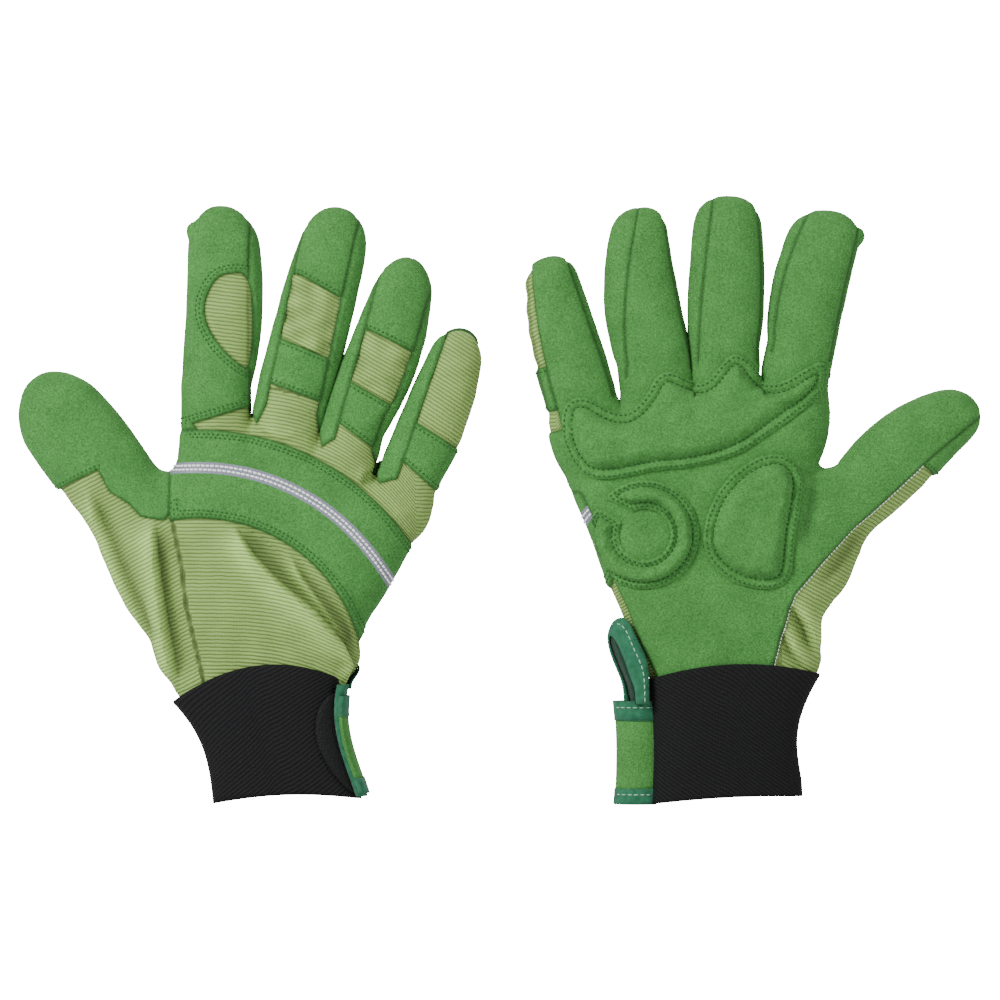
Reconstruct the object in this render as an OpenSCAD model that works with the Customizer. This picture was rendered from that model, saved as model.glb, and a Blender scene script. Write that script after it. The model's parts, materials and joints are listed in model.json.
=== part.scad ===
// A pair of padded gardening gloves standing fingers up, side by side.
// The left one shows the back of the hand and the right one shows the palm.
// Each piece is drawn lying flat, with X across, Y toward the fingertips and Z out of
// the face that looks at the viewer, and is then stood up on the edges of the cuffs.

/* [Fabric] */
// Thickness of the suede and of the ribbed knit
fabric = 1.6; // [1.2:0.1:2.2]
// Thickness of the elastic of the cuff
elastic = 2.4; // [1.8:0.1:3]
// Gap left between neighbouring pieces
seam = 0.3; // [0.2:0.05:0.4]

/* [Thickness] */
// Thickness of a finger from palm side to back
finger_t = 20; // [18:0.5:22]
// Thickness of the hand from palm to back
hand_t = 30; // [28:0.5:33]
// Thickness of the cuff
cuff_t = 26; // [24:0.5:27]
// Height of the sewn edge between front and back, as a share of the thickness
front_share = 0.64; // [0.55:0.01:0.7]

/* [Bending] */
// Most that a finger bends at the knuckle, degrees
knuckle_bend = 60; // [45:5:60]
// Most that a finger bends at its middle joint, degrees
middle_bend = 70; // [45:5:70]
// Most that the wrist bends either way, degrees
wrist_bend = 30; // [15:5:35]
// Length of a finger's first section, as a share of the whole finger
first_share = 0.37; // [0.33:0.01:0.4]
// Length of the thumb's first section, as a share of the whole thumb
thumb_share = 0.46; // [0.42:0.01:0.5]

/* [Padding] */
// How far a padded patch stands off the palm
pad_t = 4; // [3:0.25:5]
// Width of the sewn rim round a padded patch
pad_rim = 3; // [2.5:0.25:4]
// Radius of the open ring on the heel of the hand
ring_r = 22.5; // [20:0.5:24]
// Radius of the hole in that ring
ring_hole_r = 11; // [9:0.5:12]

/* [Knuckle band] */
// Inner radius of the curved band across the back of the hand
band_inner = 69; // [66:1:72]
// Outer radius of that band
band_outer = 106; // [102:1:108]
// Radius of the reflective piping that runs along the band
piping_r = 90; // [86:1:92]
// Width of the piping
piping_w = 3.4; // [3:0.1:4]

/* [Wrist] */
// Height of the suede tab beside the cuff
tab_h = 41; // [38:1:42]
// Height of the hook patch
hook_h = 36; // [32:1:38]

/* [Hidden] */
// Height of the middle of the drawing above the floor
stand_h = 125;
// Bevel along the long edges
finger_bevel = 5;
hand_bevel = 7;
cuff_bevel = 8;
finger_r = finger_t / 2;
// How far a section is drawn back behind its hinge, before its nose is rounded
nose = finger_r + 1;
hand_r = hand_t / 2;
cuff_r = cuff_t / 2;
tiny = 0.01;
// Larger than either glove
far = 300;
round_fn = 48;

// Fingers of a glove: [x, y, tilt to the right in degrees, length, width] of each one,
// from the middle of its knuckle hinge to its tip.
INDEX = 0;
MIDDLE = 1;
RING = 2;
LITTLE = 3;
THUMB = 4;
back_up_digits = [
    [-116, 39, 0, 85, 26.5],
    [-86, 36, 12, 89, 26.5],
    [-61, 22, 15.5, 84, 25],
    [-38.5, 6, 19, 71, 22],
    [-149.7, -2.8, -39, 70, 32]
];
palm_up_digits = [
    [126, 58, 11.3, 66, 27],
    [95, 56, 0, 73, 27],
    [65.5, 51, -5.8, 74, 26.5],
    [36, 39, -13.4, 66, 24],
    [142.3, 0, 54.6, 71, 30]
];
// Outline of the hand below the fingers, from the little-finger side of the wrist
// round by the thumb side to the index finger
back_up_side = [
    [-65, -79], [-136, -86], [-146, -55], [-166, -15], [-134, 11], [-130, 37]
];
palm_up_side = [
    [62, -79], [133, -79], [133, -50], [145, -34], [153, -15], [132, 14], [140, 54]
];
// Outline of the hand on the little-finger side, down to the wrist
back_up_heel = [[-28, 2], [-40, -19], [-47, -36], [-61, -56]];
palm_up_heel = [[24, 37], [31, 0], [44, -28], [50, -46]];
// Hand of each glove: [digits, thumb side, heel side, centre of the knuckle band,
// centre of the palm, turn of the palm, size of the palm, side of the thumb,
// wrist hinge [x, y, tilt, width], cuff bottom middle x, palm toward the viewer]
BACK_UP = [
    back_up_digits, back_up_side, back_up_heel, [-125, -75],
    [-90, -20], -8, 0.88, -1, [-99, -80, -13, 66], -88, false
];
PALM_UP = [
    palm_up_digits, palm_up_side, palm_up_heel, [119, -56],
    [85, -10], 0, 1, 1, [97, -75, 0, 68], 95, true
];

function digit(glove, n) = glove[0][n];
function thumb_side(glove) = glove[7];
function palm_up(glove) = glove[10];
function across(tilt) = [cos(tilt), -sin(tilt)];
function along(tilt) = [sin(tilt), cos(tilt)];
// The two ends of a finger's hinge line, the end nearer the thumb first
function hinge_ends(glove, n) =
    let (d = digit(glove, n), c = [d[0], d[1]], a = across(d[2]) * d[4] / 2)
    [c - a * -thumb_side(glove), c + a * -thumb_side(glove)];
// Outline of the hand: thumb side, the four finger hinges and the heel side
function hand_outline(glove) = concat(
    glove[1],
    [for (n = [INDEX : LITTLE]) each hinge_ends(glove, n)],
    glove[2]
);

// Furthest X that the thumb of a glove reaches to its own side
function thumb_reach(glove) =
    let (d = digit(glove, THUMB))
    d[0] + sin(d[2]) * (d[3] - d[4] / 2) + thumb_side(glove) * d[4] / 2;
// X of the middle of the pair, as drawn
middle_x = (thumb_reach(BACK_UP) + thumb_reach(PALM_UP)) / 2;

// Colours
suede = [0.36, 0.58, 0.30];
knit = [0.62, 0.70, 0.46];
dark_green = [0.15, 0.45, 0.35];
black = [0.12, 0.12, 0.13];
silver = [0.66, 0.64, 0.72];

// ---- Standing a glove up and turning its palm to the right side ----

// Draws a piece whose palm side is toward -Z, turned over if the palm faces the viewer
module lay(glove) {
    translate([-middle_x, 0, stand_h])
        rotate([90, 0, 0])
            if (palm_up(glove)) mirror([0, 0, 1]) children();
            else children();
}

// Places a piece drawn along +Y from a hinge at the origin
module at_digit(glove, n) {
    d = digit(glove, n);
    translate([d[0], d[1], 0]) rotate([0, 0, -d[2]]) children();
}

// Places a pad drawn round the centre of the palm, with the thumb toward +X
module at_palm(glove) {
    translate([glove[4][0], glove[4][1], 0])
        rotate([0, 0, glove[5]])
            mirror([thumb_side(glove) < 0 ? 1 : 0, 0, 0])
                scale(glove[6]) children();
}

// ---- Hollow sections ----

// Section across a tube with bevelled edges, X across and Y through the thickness
module tube_section(w, t, bevel, inset) {
    x = w / 2 - inset;
    y = t / 2 - inset;
    b = bevel - inset * 0.6;
    polygon([
        [-x, b - y], [b - x, -y], [x - b, -y], [x, b - y],
        [x, y - b], [x - b, y], [b - x, y], [-x, y - b]
    ]);
}

// The part of a hollow section between two heights
module wall_section(w, t, bevel, wall, low, high) {
    intersection() {
        difference() {
            tube_section(w, t, bevel, 0);
            tube_section(w, t, bevel, wall);
        }
        translate([-w, low]) square([2 * w, high - low]);
    }
}

// A straight hollow length along +Y between two places
module straight(w, t, bevel, wall, low, high, from, to) {
    translate([0, to, 0])
        rotate([90, 0, 0])
            linear_extrude(to - from)
                wall_section(w, t, bevel, wall, low, high);
}

// A rounded hollow end, whose furthest point is at a given length
module rounded_end(w, t, bevel, wall, low, high, length) {
    translate([0, length - w / 2, 0])
        rotate_extrude(angle = 180, $fn = round_fn)
            intersection() {
                wall_section(w, t, bevel, wall, low, high);
                translate([0, -t]) square([w, 2 * t]);
            }
}

// Everything forward of a hinge line, and a round nose of radius r behind it
module forward_of_hinge(r) {
    translate([-far, 0, -far]) cube([2 * far, far, 2 * far]);
    translate([-far, 0, 0]) rotate([0, 90, 0]) cylinder(r = r, h = 2 * far, $fn = round_fn);
}

// Side view of one wedge of that room: the rear face of the turned piece, out to a reach
// ahead of the hinge, on the side given by s
module swing_wedge(r, angle, s) {
    ahead = 30;
    depth = r * cos(angle) + (ahead + r * sin(angle)) * tan(angle);
    polygon([[0, 0], [-r * sin(angle), s * r * cos(angle)], [ahead, s * depth], [ahead, 0]]);
}

// Room for what turns on a hinge line: its nose, what lies forward of it, and the wedges
// that it swings through toward -Z by one angle and toward +Z by another
module swing_room(w, r, down, up) {
    width = w + 4 * seam;
    translate([-width / 2, 0, 0])
        rotate([90, 0, 90])
            linear_extrude(width) {
                circle(r = r + seam, $fn = round_fn);
                swing_wedge(r + seam, down, -1);
                swing_wedge(r + seam, up, 1);
            }
}

// ---- Fingers ----

function first_length(glove, n) =
    digit(glove, n)[3] * (n == THUMB ? thumb_share : first_share);
function second_length(glove, n) = digit(glove, n)[3] - first_length(glove, n);
// Height of the sewn edge between the front and the back of a piece
function edge_height(t) = t * (front_share - 0.5);

// First section of a digit between two heights and two places along it
module first_section(glove, n, low, high, from, to) {
    d = digit(glove, n);
    at_digit(glove, n)
        difference() {
            intersection() {
                straight(d[4], finger_t, finger_bevel, fabric, low, high, from, to);
                forward_of_hinge(finger_r);
            }
            translate([0, first_length(glove, n), 0])
                swing_room(d[4], finger_r, middle_bend, 0);
        }
}

// Second section of a digit between two heights, from one place along it to another
module second_section(glove, n, low, high, from, to) {
    d = digit(glove, n);
    at_digit(glove, n)
        translate([0, first_length(glove, n), 0])
            intersection() {
                straight(d[4], finger_t, finger_bevel, fabric, low, high, from, to);
                forward_of_hinge(finger_r);
            }
}

// Second section of a digit between two heights, from a place along it to the tip
module second_section_to_tip(glove, n, low, high, from) {
    d = digit(glove, n);
    length = second_length(glove, n);
    second_section(glove, n, low, high, from, length - d[4] / 2);
    at_digit(glove, n)
        translate([0, first_length(glove, n), 0])
            rounded_end(d[4], finger_t, finger_bevel, fabric, low, high, length);
}

// Suede front of the first section, with the side strips up to the sewn edge
module digit_front(glove, n) {
    color(suede) lay(glove)
        first_section(glove, n, -finger_t, edge_height(finger_t), -nose, first_length(glove, n));
}

// Back of the first section: the ribbed strip at the knuckle and the suede band above it
module digit_band(glove, n) {
    strip = digit(glove, n)[3] * 0.12;
    low = edge_height(finger_t) + seam;
    lay(glove) {
        color(knit) first_section(glove, n, low, finger_t, -nose, strip);
        color(suede) first_section(glove, n, low, finger_t, strip + seam, first_length(glove, n));
    }
}

// Place along the second section where the cap starts
function cap_start(glove, n) = digit(glove, n)[3] * (n == THUMB ? 0.02 : 0.24);

// Ribbed window above the middle joint, up to the cap
module digit_window(glove, n) {
    color(knit) lay(glove)
        second_section(
            glove, n, edge_height(finger_t) + seam, finger_t, -nose, cap_start(glove, n) - seam
        );
}

// Suede end of a digit: the front, the side strips and the cap over the tip
module digit_cap(glove, n) {
    edge = edge_height(finger_t);
    color(suede) lay(glove) {
        second_section_to_tip(glove, n, -finger_t, edge, -nose);
        second_section_to_tip(glove, n, edge - tiny, finger_t, cap_start(glove, n));
    }
}

// Ribbed back of the little finger, up to its tip
module little_back(glove) {
    color(knit) lay(glove)
        second_section_to_tip(glove, LITTLE, edge_height(finger_t) + seam, finger_t, -nose);
}

// Suede front of the end of the little finger
module little_tip(glove) {
    color(suede) lay(glove)
        second_section_to_tip(glove, LITTLE, -finger_t, edge_height(finger_t), -nose);
}

// Ribbed back of the thumb's first section
module thumb_back(glove) {
    color(knit) lay(glove)
        first_section(
            glove, THUMB, edge_height(finger_t) + seam, finger_t, -nose, first_length(glove, THUMB)
        );
}

// ---- Hand ----

// Steps of a rounded edge, from the widest outline (0) to the outer face (1)
edge_steps = [0, 1 / 3, 2 / 3, 1];
// How far a rounded edge has drawn in at one of its steps
function drawn_in(bevel, step) = bevel * (1 - sqrt(1 - 0.96 * step * step));

// Solid block of the hand with rounded edges, smaller all round by an inset
module hand_block(glove, inset) {
    for (step = edge_steps)
        linear_extrude(2 * (hand_r - hand_bevel + (hand_bevel - inset) * step), center = true)
            offset(delta = -inset - drawn_in(hand_bevel, step))
                polygon(hand_outline(glove));
}

// Hollow hand, open to every digit and to the cuff
module hand_shell(glove) {
    difference() {
        hand_block(glove, 0);
        hand_block(glove, fabric);
        for (n = [INDEX : THUMB])
            at_digit(glove, n) swing_room(digit(glove, n)[4], finger_r, knuckle_bend, 0);
        at_wrist(glove) swing_room(glove[8][3], cuff_r, wrist_bend, wrist_bend);
    }
}

// Places a piece drawn along +Y from the wrist hinge toward the open end of the cuff
module at_wrist(glove) {
    w = glove[8];
    translate([w[0], w[1], 0]) rotate([0, 0, 180 - w[2]]) children();
}

// Slab that keeps only one height range
module height_range(low, high) {
    translate([-far, -far, low]) cube([2 * far, 2 * far, high - low]);
}

// Ring sector over the back of the hand
module band_slab(glove, inner, outer, low, high) {
    translate([glove[3][0], glove[3][1], low])
        difference() {
            cylinder(r = outer, h = high - low, $fn = 96);
            translate([0, 0, -1]) cylinder(r = inner, h = high - low + 2, $fn = 96);
        }
}

// Suede palm with its sides up to the sewn edge, cut open at the wrist slit
module palm_panel(glove) {
    color(suede) lay(glove)
        difference() {
            intersection() {
                hand_shell(glove);
                height_range(-hand_t, edge_height(hand_t));
            }
            slit_shape(glove, 0, -hand_t, 0);
        }
}

// Ribbed back of the hand, without the knuckle band
module back_panel(glove) {
    color(knit) lay(glove)
        difference() {
            intersection() {
                hand_shell(glove);
                height_range(edge_height(hand_t) + seam, hand_t);
            }
            band_slab(glove, band_inner - seam, band_outer + seam, 0, hand_t);
        }
}

// Curved suede band over the knuckles
module knuckle_band(glove) {
    color(suede) lay(glove)
        intersection() {
            hand_shell(glove);
            height_range(edge_height(hand_t) + seam, hand_t);
            band_slab(glove, band_inner, band_outer, 0, hand_t);
        }
}

// Reflective piping that lies along the middle of the band
module reflective_piping(glove) {
    color(silver) lay(glove)
        intersection() {
            linear_extrude(hand_t) offset(delta = -hand_bevel - 1) polygon(hand_outline(glove));
            band_slab(glove, piping_r - piping_w / 2, piping_r + piping_w / 2, hand_r + seam / 3, hand_r + 1.2);
        }
}

// ---- Padded patches on the palm ----

// A padded patch: a hollow suede cover over a foam core, both cut from one outline
module padded_patch(glove) {
    base = -hand_r - seam / 3;
    color(suede) lay(glove)
        difference() {
            translate([0, 0, base - pad_t])
                linear_extrude(pad_t) children();
            translate([0, 0, base - pad_t + fabric])
                linear_extrude(pad_t) offset(delta = -pad_rim) children();
        }
    color("lightyellow") lay(glove)
        translate([0, 0, base - pad_t + fabric + seam / 3])
            linear_extrude(pad_t - fabric - seam / 3)
                offset(delta = -pad_rim - seam) children();
}

// Bar across the palm below the fingers, with a lobe toward each finger. The patch stops
// short of the fold at the base of the fingers.
module finger_pad(glove) {
    fold_room = 8;
    // the bar as circles [x, y, radius] from the little finger to the index finger
    bar = [[-48, 33, 11], [-19, 39, 15], [8, 45, 15.5], [40, 57, 12]];
    padded_patch(glove)
        difference() {
            at_palm(glove)
                for (i = [0 : 2])
                    hull() {
                        translate([bar[i][0], bar[i][1]]) circle(r = bar[i][2], $fn = 32);
                        translate([bar[i + 1][0], bar[i + 1][1]]) circle(r = bar[i + 1][2], $fn = 32);
                    }
            for (n = [INDEX : LITTLE])
                translate([digit(glove, n)[0], digit(glove, n)[1]])
                    rotate(-digit(glove, n)[2])
                        translate([-digit(glove, n)[4] / 2 - 4, -fold_room])
                            square([digit(glove, n)[4] + 8, 30]);
        }
}

// Open ring on the heel of the hand
module heel_pad(glove) {
    padded_patch(glove)
        at_palm(glove)
            translate([-25, -2.5])
                difference() {
                    circle(r = ring_r, $fn = 64);
                    circle(r = ring_hole_r, $fn = 48);
                    rotate(150) translate([0, -2]) square([ring_r * 2, 4]);
                }
}

// Drop-shaped patch beside the base of the thumb
module thumb_pad(glove) {
    corner = 7;
    padded_patch(glove)
        at_palm(glove)
            offset(r = corner, $fn = 32)
                polygon([[10, 11], [33, 24], [33, 10], [30, -16], [8, -12], [6, -4]]);
}

// ---- Wrist ----

// Middle line of the slit beside the cuff, from its round top to its foot
function slit_line(glove) =
    let (h = glove[2][len(glove[2]) - 1], w = glove[1][0], side = thumb_side(glove))
    [h + [side * 6, -12], w + [side * 3, 7]];

// Outline of the slit, widened by a margin, between two heights
module slit_shape(glove, margin, low, high) {
    line = slit_line(glove);
    translate([0, 0, low])
        linear_extrude(high - low)
            hull() {
                translate(line[0]) circle(r = 3 + margin, $fn = 32);
                translate(line[1]) circle(r = 1.2 + margin, $fn = 32);
            }
}

// Tape that binds the slit
module slit_binding(glove) {
    base = -hand_r - seam / 3;
    color(dark_green) lay(glove)
        difference() {
            slit_shape(glove, 3.5, base - fabric, base);
            slit_shape(glove, 0, base - fabric - 1, base + 1);
        }
}

// Outline of the cuff, lying flat, between the wrist hinge and the floor
module cuff_outline(glove, inset) {
    w = glove[8];
    c = [w[0], w[1]];
    side = across(w[2]);
    half = w[3] / 2 - inset;
    foot = -stand_h;
    polygon([
        c - side * half + along(w[2]) * (cuff_r + 3), c + side * half + along(w[2]) * (cuff_r + 3),
        c + side * half - along(w[2]) * 4,
        [glove[9] + half * 0.94, foot - 1], [glove[9] - half * 0.94, foot - 1],
        c - side * half - along(w[2]) * 4
    ]);
}

// Solid block of the cuff with rounded edges, smaller all round by an inset
module cuff_block(glove, inset) {
    for (step = edge_steps)
        linear_extrude(2 * (cuff_r - cuff_bevel + (cuff_bevel - inset) * step), center = true)
            cuff_outline(glove, inset + drawn_in(cuff_bevel, step));
}

// Elastic cuff, open at both ends
module elastic_cuff(glove) {
    color(black) lay(glove)
        intersection() {
            difference() {
                cuff_block(glove, 0);
                cuff_block(glove, elastic);
            }
            at_wrist(glove) forward_of_hinge(cuff_r);
            translate([-far, -stand_h, -far]) cube([2 * far, 2 * far, 2 * far]);
        }
}

// X of the little-finger side of the cuff at a height above its foot
function cuff_edge(glove, height) =
    glove[9] - thumb_side(glove) * (glove[8][3] * 0.47 + 0.8) + height * tan(glove[8][2]);

// Suede tab folded round the little-finger side of the cuff, with its two bound ends
module closure_tab(glove) {
    side = -thumb_side(glove);
    bound = 8;
    stand_off = 9;
    lay(glove)
        translate([cuff_edge(glove, 1), -stand_h + 1, 0])
            rotate([0, 0, -glove[8][2]])
                for (piece = [[0, bound, dark_green], [bound, tab_h - bound, suede], [tab_h - bound, tab_h, dark_green]])
                    color(piece[2])
                        translate([0, piece[0] + seam / 2, 0])
                            rotate([-90, 0, 0])
                                linear_extrude(piece[1] - piece[0] - seam)
                                    polygon([
                                        [side * 1, cuff_r * 0.55], [side * stand_off, 2], [side * stand_off, -4],
                                        [side * 2, -cuff_r - 0.4], [side * -8, -cuff_r - 0.4], [side * -8, -cuff_r - 2],
                                        [side * 3, -cuff_r - 2], [side * (stand_off + 2), -5], [side * (stand_off + 2), 3],
                                        [side * 1, cuff_r * 0.55 + 2.5]
                                    ]);
}

// Height of the middle of the hook patch above the floor
hook_mid_h = 22;
// Place of the peel line of the hook patch, on the back of the cuff
function hook_hinge(glove) =
    [cuff_edge(glove, hook_mid_h) + thumb_side(glove) * 17, -stand_h + hook_mid_h];

// D-shaped hook patch that closes over the tab
module hook_patch(glove) {
    side = -thumb_side(glove);
    low = cuff_r + 2.4;
    color(black) lay(glove)
        translate(concat(hook_hinge(glove), [low]))
            rotate([0, 0, -glove[8][2]])
                linear_extrude(elastic)
                    intersection() {
                        translate([side * hook_h / 2, 0]) circle(r = hook_h / 2, $fn = 64);
                        translate([side > 0 ? 0 : -16, -hook_h]) square([16, 2 * hook_h]);
                    }
}

// ---- Everything in its place ----

// Each row of the lines below draws one node
palm_panel(BACK_UP);  // a_palm_panel
back_panel(BACK_UP);  // a_back_panel
knuckle_band(BACK_UP);  // a_knuckle_band
reflective_piping(BACK_UP);  // a_reflective_piping
finger_pad(BACK_UP);  // a_finger_pad
heel_pad(BACK_UP);  // a_heel_pad
thumb_pad(BACK_UP);  // a_thumb_pad
slit_binding(BACK_UP);  // a_slit_binding
elastic_cuff(BACK_UP);  // a_elastic_cuff
closure_tab(BACK_UP);  // a_closure_tab
hook_patch(BACK_UP);  // a_hook_patch
digit_front(BACK_UP, INDEX);  // a_index_front
digit_band(BACK_UP, INDEX);  // a_index_patch
digit_window(BACK_UP, INDEX);  // a_index_window
digit_cap(BACK_UP, INDEX);  // a_index_cap
digit_front(BACK_UP, MIDDLE);  // a_middle_front
digit_band(BACK_UP, MIDDLE);  // a_middle_band
digit_window(BACK_UP, MIDDLE);  // a_middle_window
digit_cap(BACK_UP, MIDDLE);  // a_middle_cap
digit_front(BACK_UP, RING);  // a_ring_front
digit_band(BACK_UP, RING);  // a_ring_band
digit_window(BACK_UP, RING);  // a_ring_window
digit_cap(BACK_UP, RING);  // a_ring_cap
digit_front(BACK_UP, LITTLE);  // a_little_front
digit_band(BACK_UP, LITTLE);  // a_little_band
little_back(BACK_UP);  // a_little_back
little_tip(BACK_UP);  // a_little_tip
digit_front(BACK_UP, THUMB);  // a_thumb_front
thumb_back(BACK_UP);  // a_thumb_back
digit_cap(BACK_UP, THUMB);  // a_thumb_cap
palm_panel(PALM_UP);  // b_palm_panel
back_panel(PALM_UP);  // b_back_panel
knuckle_band(PALM_UP);  // b_knuckle_band
reflective_piping(PALM_UP);  // b_reflective_piping
finger_pad(PALM_UP);  // b_finger_pad
heel_pad(PALM_UP);  // b_heel_pad
thumb_pad(PALM_UP);  // b_thumb_pad
slit_binding(PALM_UP);  // b_slit_binding
elastic_cuff(PALM_UP);  // b_elastic_cuff
closure_tab(PALM_UP);  // b_closure_tab
hook_patch(PALM_UP);  // b_hook_patch
digit_front(PALM_UP, INDEX);  // b_index_front
digit_band(PALM_UP, INDEX);  // b_index_patch
digit_window(PALM_UP, INDEX);  // b_index_window
digit_cap(PALM_UP, INDEX);  // b_index_cap
digit_front(PALM_UP, MIDDLE);  // b_middle_front
digit_band(PALM_UP, MIDDLE);  // b_middle_band
digit_window(PALM_UP, MIDDLE);  // b_middle_window
digit_cap(PALM_UP, MIDDLE);  // b_middle_cap
digit_front(PALM_UP, RING);  // b_ring_front
digit_band(PALM_UP, RING);  // b_ring_band
digit_window(PALM_UP, RING);  // b_ring_window
digit_cap(PALM_UP, RING);  // b_ring_cap
digit_front(PALM_UP, LITTLE);  // b_little_front
digit_band(PALM_UP, LITTLE);  // b_little_band
little_back(PALM_UP);  // b_little_back
little_tip(PALM_UP);  // b_little_tip
digit_front(PALM_UP, THUMB);  // b_thumb_front
thumb_back(PALM_UP);  // b_thumb_back
digit_cap(PALM_UP, THUMB);  // b_thumb_cap
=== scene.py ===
import json
import math
from functools import reduce

import bpy
import numpy as np
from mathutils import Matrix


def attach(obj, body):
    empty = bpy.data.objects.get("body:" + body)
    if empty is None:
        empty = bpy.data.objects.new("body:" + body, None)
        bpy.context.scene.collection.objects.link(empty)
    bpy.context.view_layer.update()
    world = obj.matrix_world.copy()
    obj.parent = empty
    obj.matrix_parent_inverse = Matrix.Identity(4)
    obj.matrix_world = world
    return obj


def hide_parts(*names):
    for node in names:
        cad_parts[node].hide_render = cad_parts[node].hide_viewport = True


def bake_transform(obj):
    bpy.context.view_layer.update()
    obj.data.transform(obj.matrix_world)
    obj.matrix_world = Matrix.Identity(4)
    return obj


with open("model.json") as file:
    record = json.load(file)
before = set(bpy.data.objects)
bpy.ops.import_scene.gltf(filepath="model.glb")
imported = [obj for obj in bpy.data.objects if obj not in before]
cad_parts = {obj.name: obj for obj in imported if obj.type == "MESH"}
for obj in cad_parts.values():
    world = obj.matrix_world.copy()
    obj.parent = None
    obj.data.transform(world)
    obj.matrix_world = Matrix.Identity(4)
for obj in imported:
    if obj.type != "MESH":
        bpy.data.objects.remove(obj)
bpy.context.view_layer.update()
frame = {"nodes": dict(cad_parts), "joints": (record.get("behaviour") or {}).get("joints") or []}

import openvdb
from mathutils import Vector

# Everything below is worked out in millimetres on a flat drawing of the pair: u to the
# right, v toward the fingertips and w toward the viewer. stand() turns that into metres in
# the frame of the CAD pieces, where the gloves stand on their cuffs.
STAND = 125.0  # height of the drawing's middle above the floor
CELL = 1.25  # spacing of the surface that the fabric is cut from
SKIN_FOOT = -106.0  # where that surface ends below, inside the cuff
SUEDE_T = 0.9  # how far suede stands off the knit it is sewn to
CLOTH_T = 1.1  # thickness of the fabric
RIB = 1.55  # from one rib of the knit to the next
FINGERS = ("index", "middle", "ring", "little")
DIGITS = FINGERS + ("thumb",)

# Where the panels are cut into zones. A digit's base and end begin this far along
# it from its knuckle hinge, and the hand and the neck this far above the wrist's hinge.
BASE_FROM = -2.0
END_FROM = 14.5
HAND_FROM = 36.0
NECK_FROM = -9.0
STITCH_FROM = 2.0  # stitches on the neck begin here, where the cuff's edge hides their ends
# From where to where each part would bend: move_with works out these ends but bends nothing
BASE_BEND = (2.0, 14.4)
END_BEND = 9.0  # to either side of the middle joint
NECK_BEND = (34.0, 8.0)

joint_of = {j["name"]: j for j in frame["joints"]}
# u of the middle of the pair. The middle finger of the right glove, which points straight
# up, is at 95 on the drawing.
MIDDLE = 95.0 - joint_of["b_middle_knuckle"]["pos_m"][0] * 1000


def flat_point(metres):
    return np.array([metres[0] * 1000 + MIDDLE, metres[2] * 1000 - STAND])


def stand(points):
    p = np.asarray(points, float)
    return np.stack([p[..., 0] - MIDDLE, -p[..., 2], p[..., 1] + STAND], -1) / 1000


def smooth(x):
    x = np.clip(x, 0, 1)
    return x * x * (3 - 2 * x)


def rounded(points):
    """A closed outline with its corners cut twice, so that it reads as a curve."""
    p = np.asarray(points, float)
    for _ in range(2):
        q = np.roll(p, -1, axis=0)
        p = np.stack([0.75 * p + 0.25 * q, 0.25 * p + 0.75 * q], 1).reshape(-1, 2)
    return p


def inside(u, v, points):
    """Signed distance to a closed outline, above zero inside it."""
    p = np.asarray(points, float)
    near = np.full(np.shape(u), 1e12)
    odd = np.zeros(np.shape(u), bool)
    for (ax, ay), (bx, by) in zip(p, np.roll(p, -1, axis=0)):
        ex, ey = bx - ax, by - ay
        t = np.clip(((u - ax) * ex + (v - ay) * ey) / (ex * ex + ey * ey), 0, 1)
        near = np.minimum(near, (u - ax - t * ex) ** 2 + (v - ay - t * ey) ** 2)
        crosses = (ay > v) != (by > v)
        odd ^= crosses & (u < ax + (v - ay) * ex / (ey if abs(ey) > 1e-9 else 1e-9))
    return np.where(odd, 1, -1) * np.sqrt(near)


def line_distance(u, v, points):
    """Distance to an open line, how far along it the nearest point is, and 1 on its left."""
    p = np.asarray(points, float)
    near = np.full(np.shape(u), 1e12)
    along = np.zeros(np.shape(u))
    left = np.zeros(np.shape(u))
    gone = 0.0
    for (ax, ay), (bx, by) in zip(p[:-1], p[1:]):
        ex, ey = bx - ax, by - ay
        length = math.hypot(ex, ey)
        t = np.clip(((u - ax) * ex + (v - ay) * ey) / length**2, 0, 1)
        d = (u - ax - t * ex) ** 2 + (v - ay - t * ey) ** 2
        along = np.where(d < near, gone + t * length, along)
        left = np.where(d < near, np.sign((v - ay) * ex - (u - ax) * ey), left)
        near = np.minimum(near, d)
        gone += length
    return np.sqrt(near), along, left


def ripple(u, v, seed, size):
    """Slow, even noise in -1..1, about size mm from crest to crest."""
    rng = np.random.default_rng(seed)
    total = np.zeros(np.shape(u))
    for _ in range(7):
        angle, phase = rng.uniform(0, 2 * math.pi, 2)
        k = 2 * math.pi / (size * rng.uniform(0.7, 1.5))
        total = total + np.sin(k * (u * math.cos(angle) + v * math.sin(angle)) + phase)
    return total / 4.0


def all_of(*areas):
    """Above zero only where all of the fields are."""
    return reduce(np.minimum, areas)


def any_of(*areas):
    """Above zero where any of the fields is."""
    return reduce(np.maximum, areas)


def soft_min(a, b, reach):
    h = np.clip(0.5 + 0.5 * (b - a) / reach, 0, 1)
    return b + (a - b) * h - reach * h * (1 - h)


def boxy(power, *sides):
    """1 on a box of half side 1 with round corners: a power of 2 makes it an ellipse."""
    return sum(np.abs(x) ** power for x in sides) ** (1 / power)


# ---- The two gloves ----

SIDE_AT = (0.2, 0.6, 0.85)  # where a digit's two sides are given, as shares of its length
SIDE_FROM = 0.12  # below this share of its length a digit's sides run straight


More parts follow.
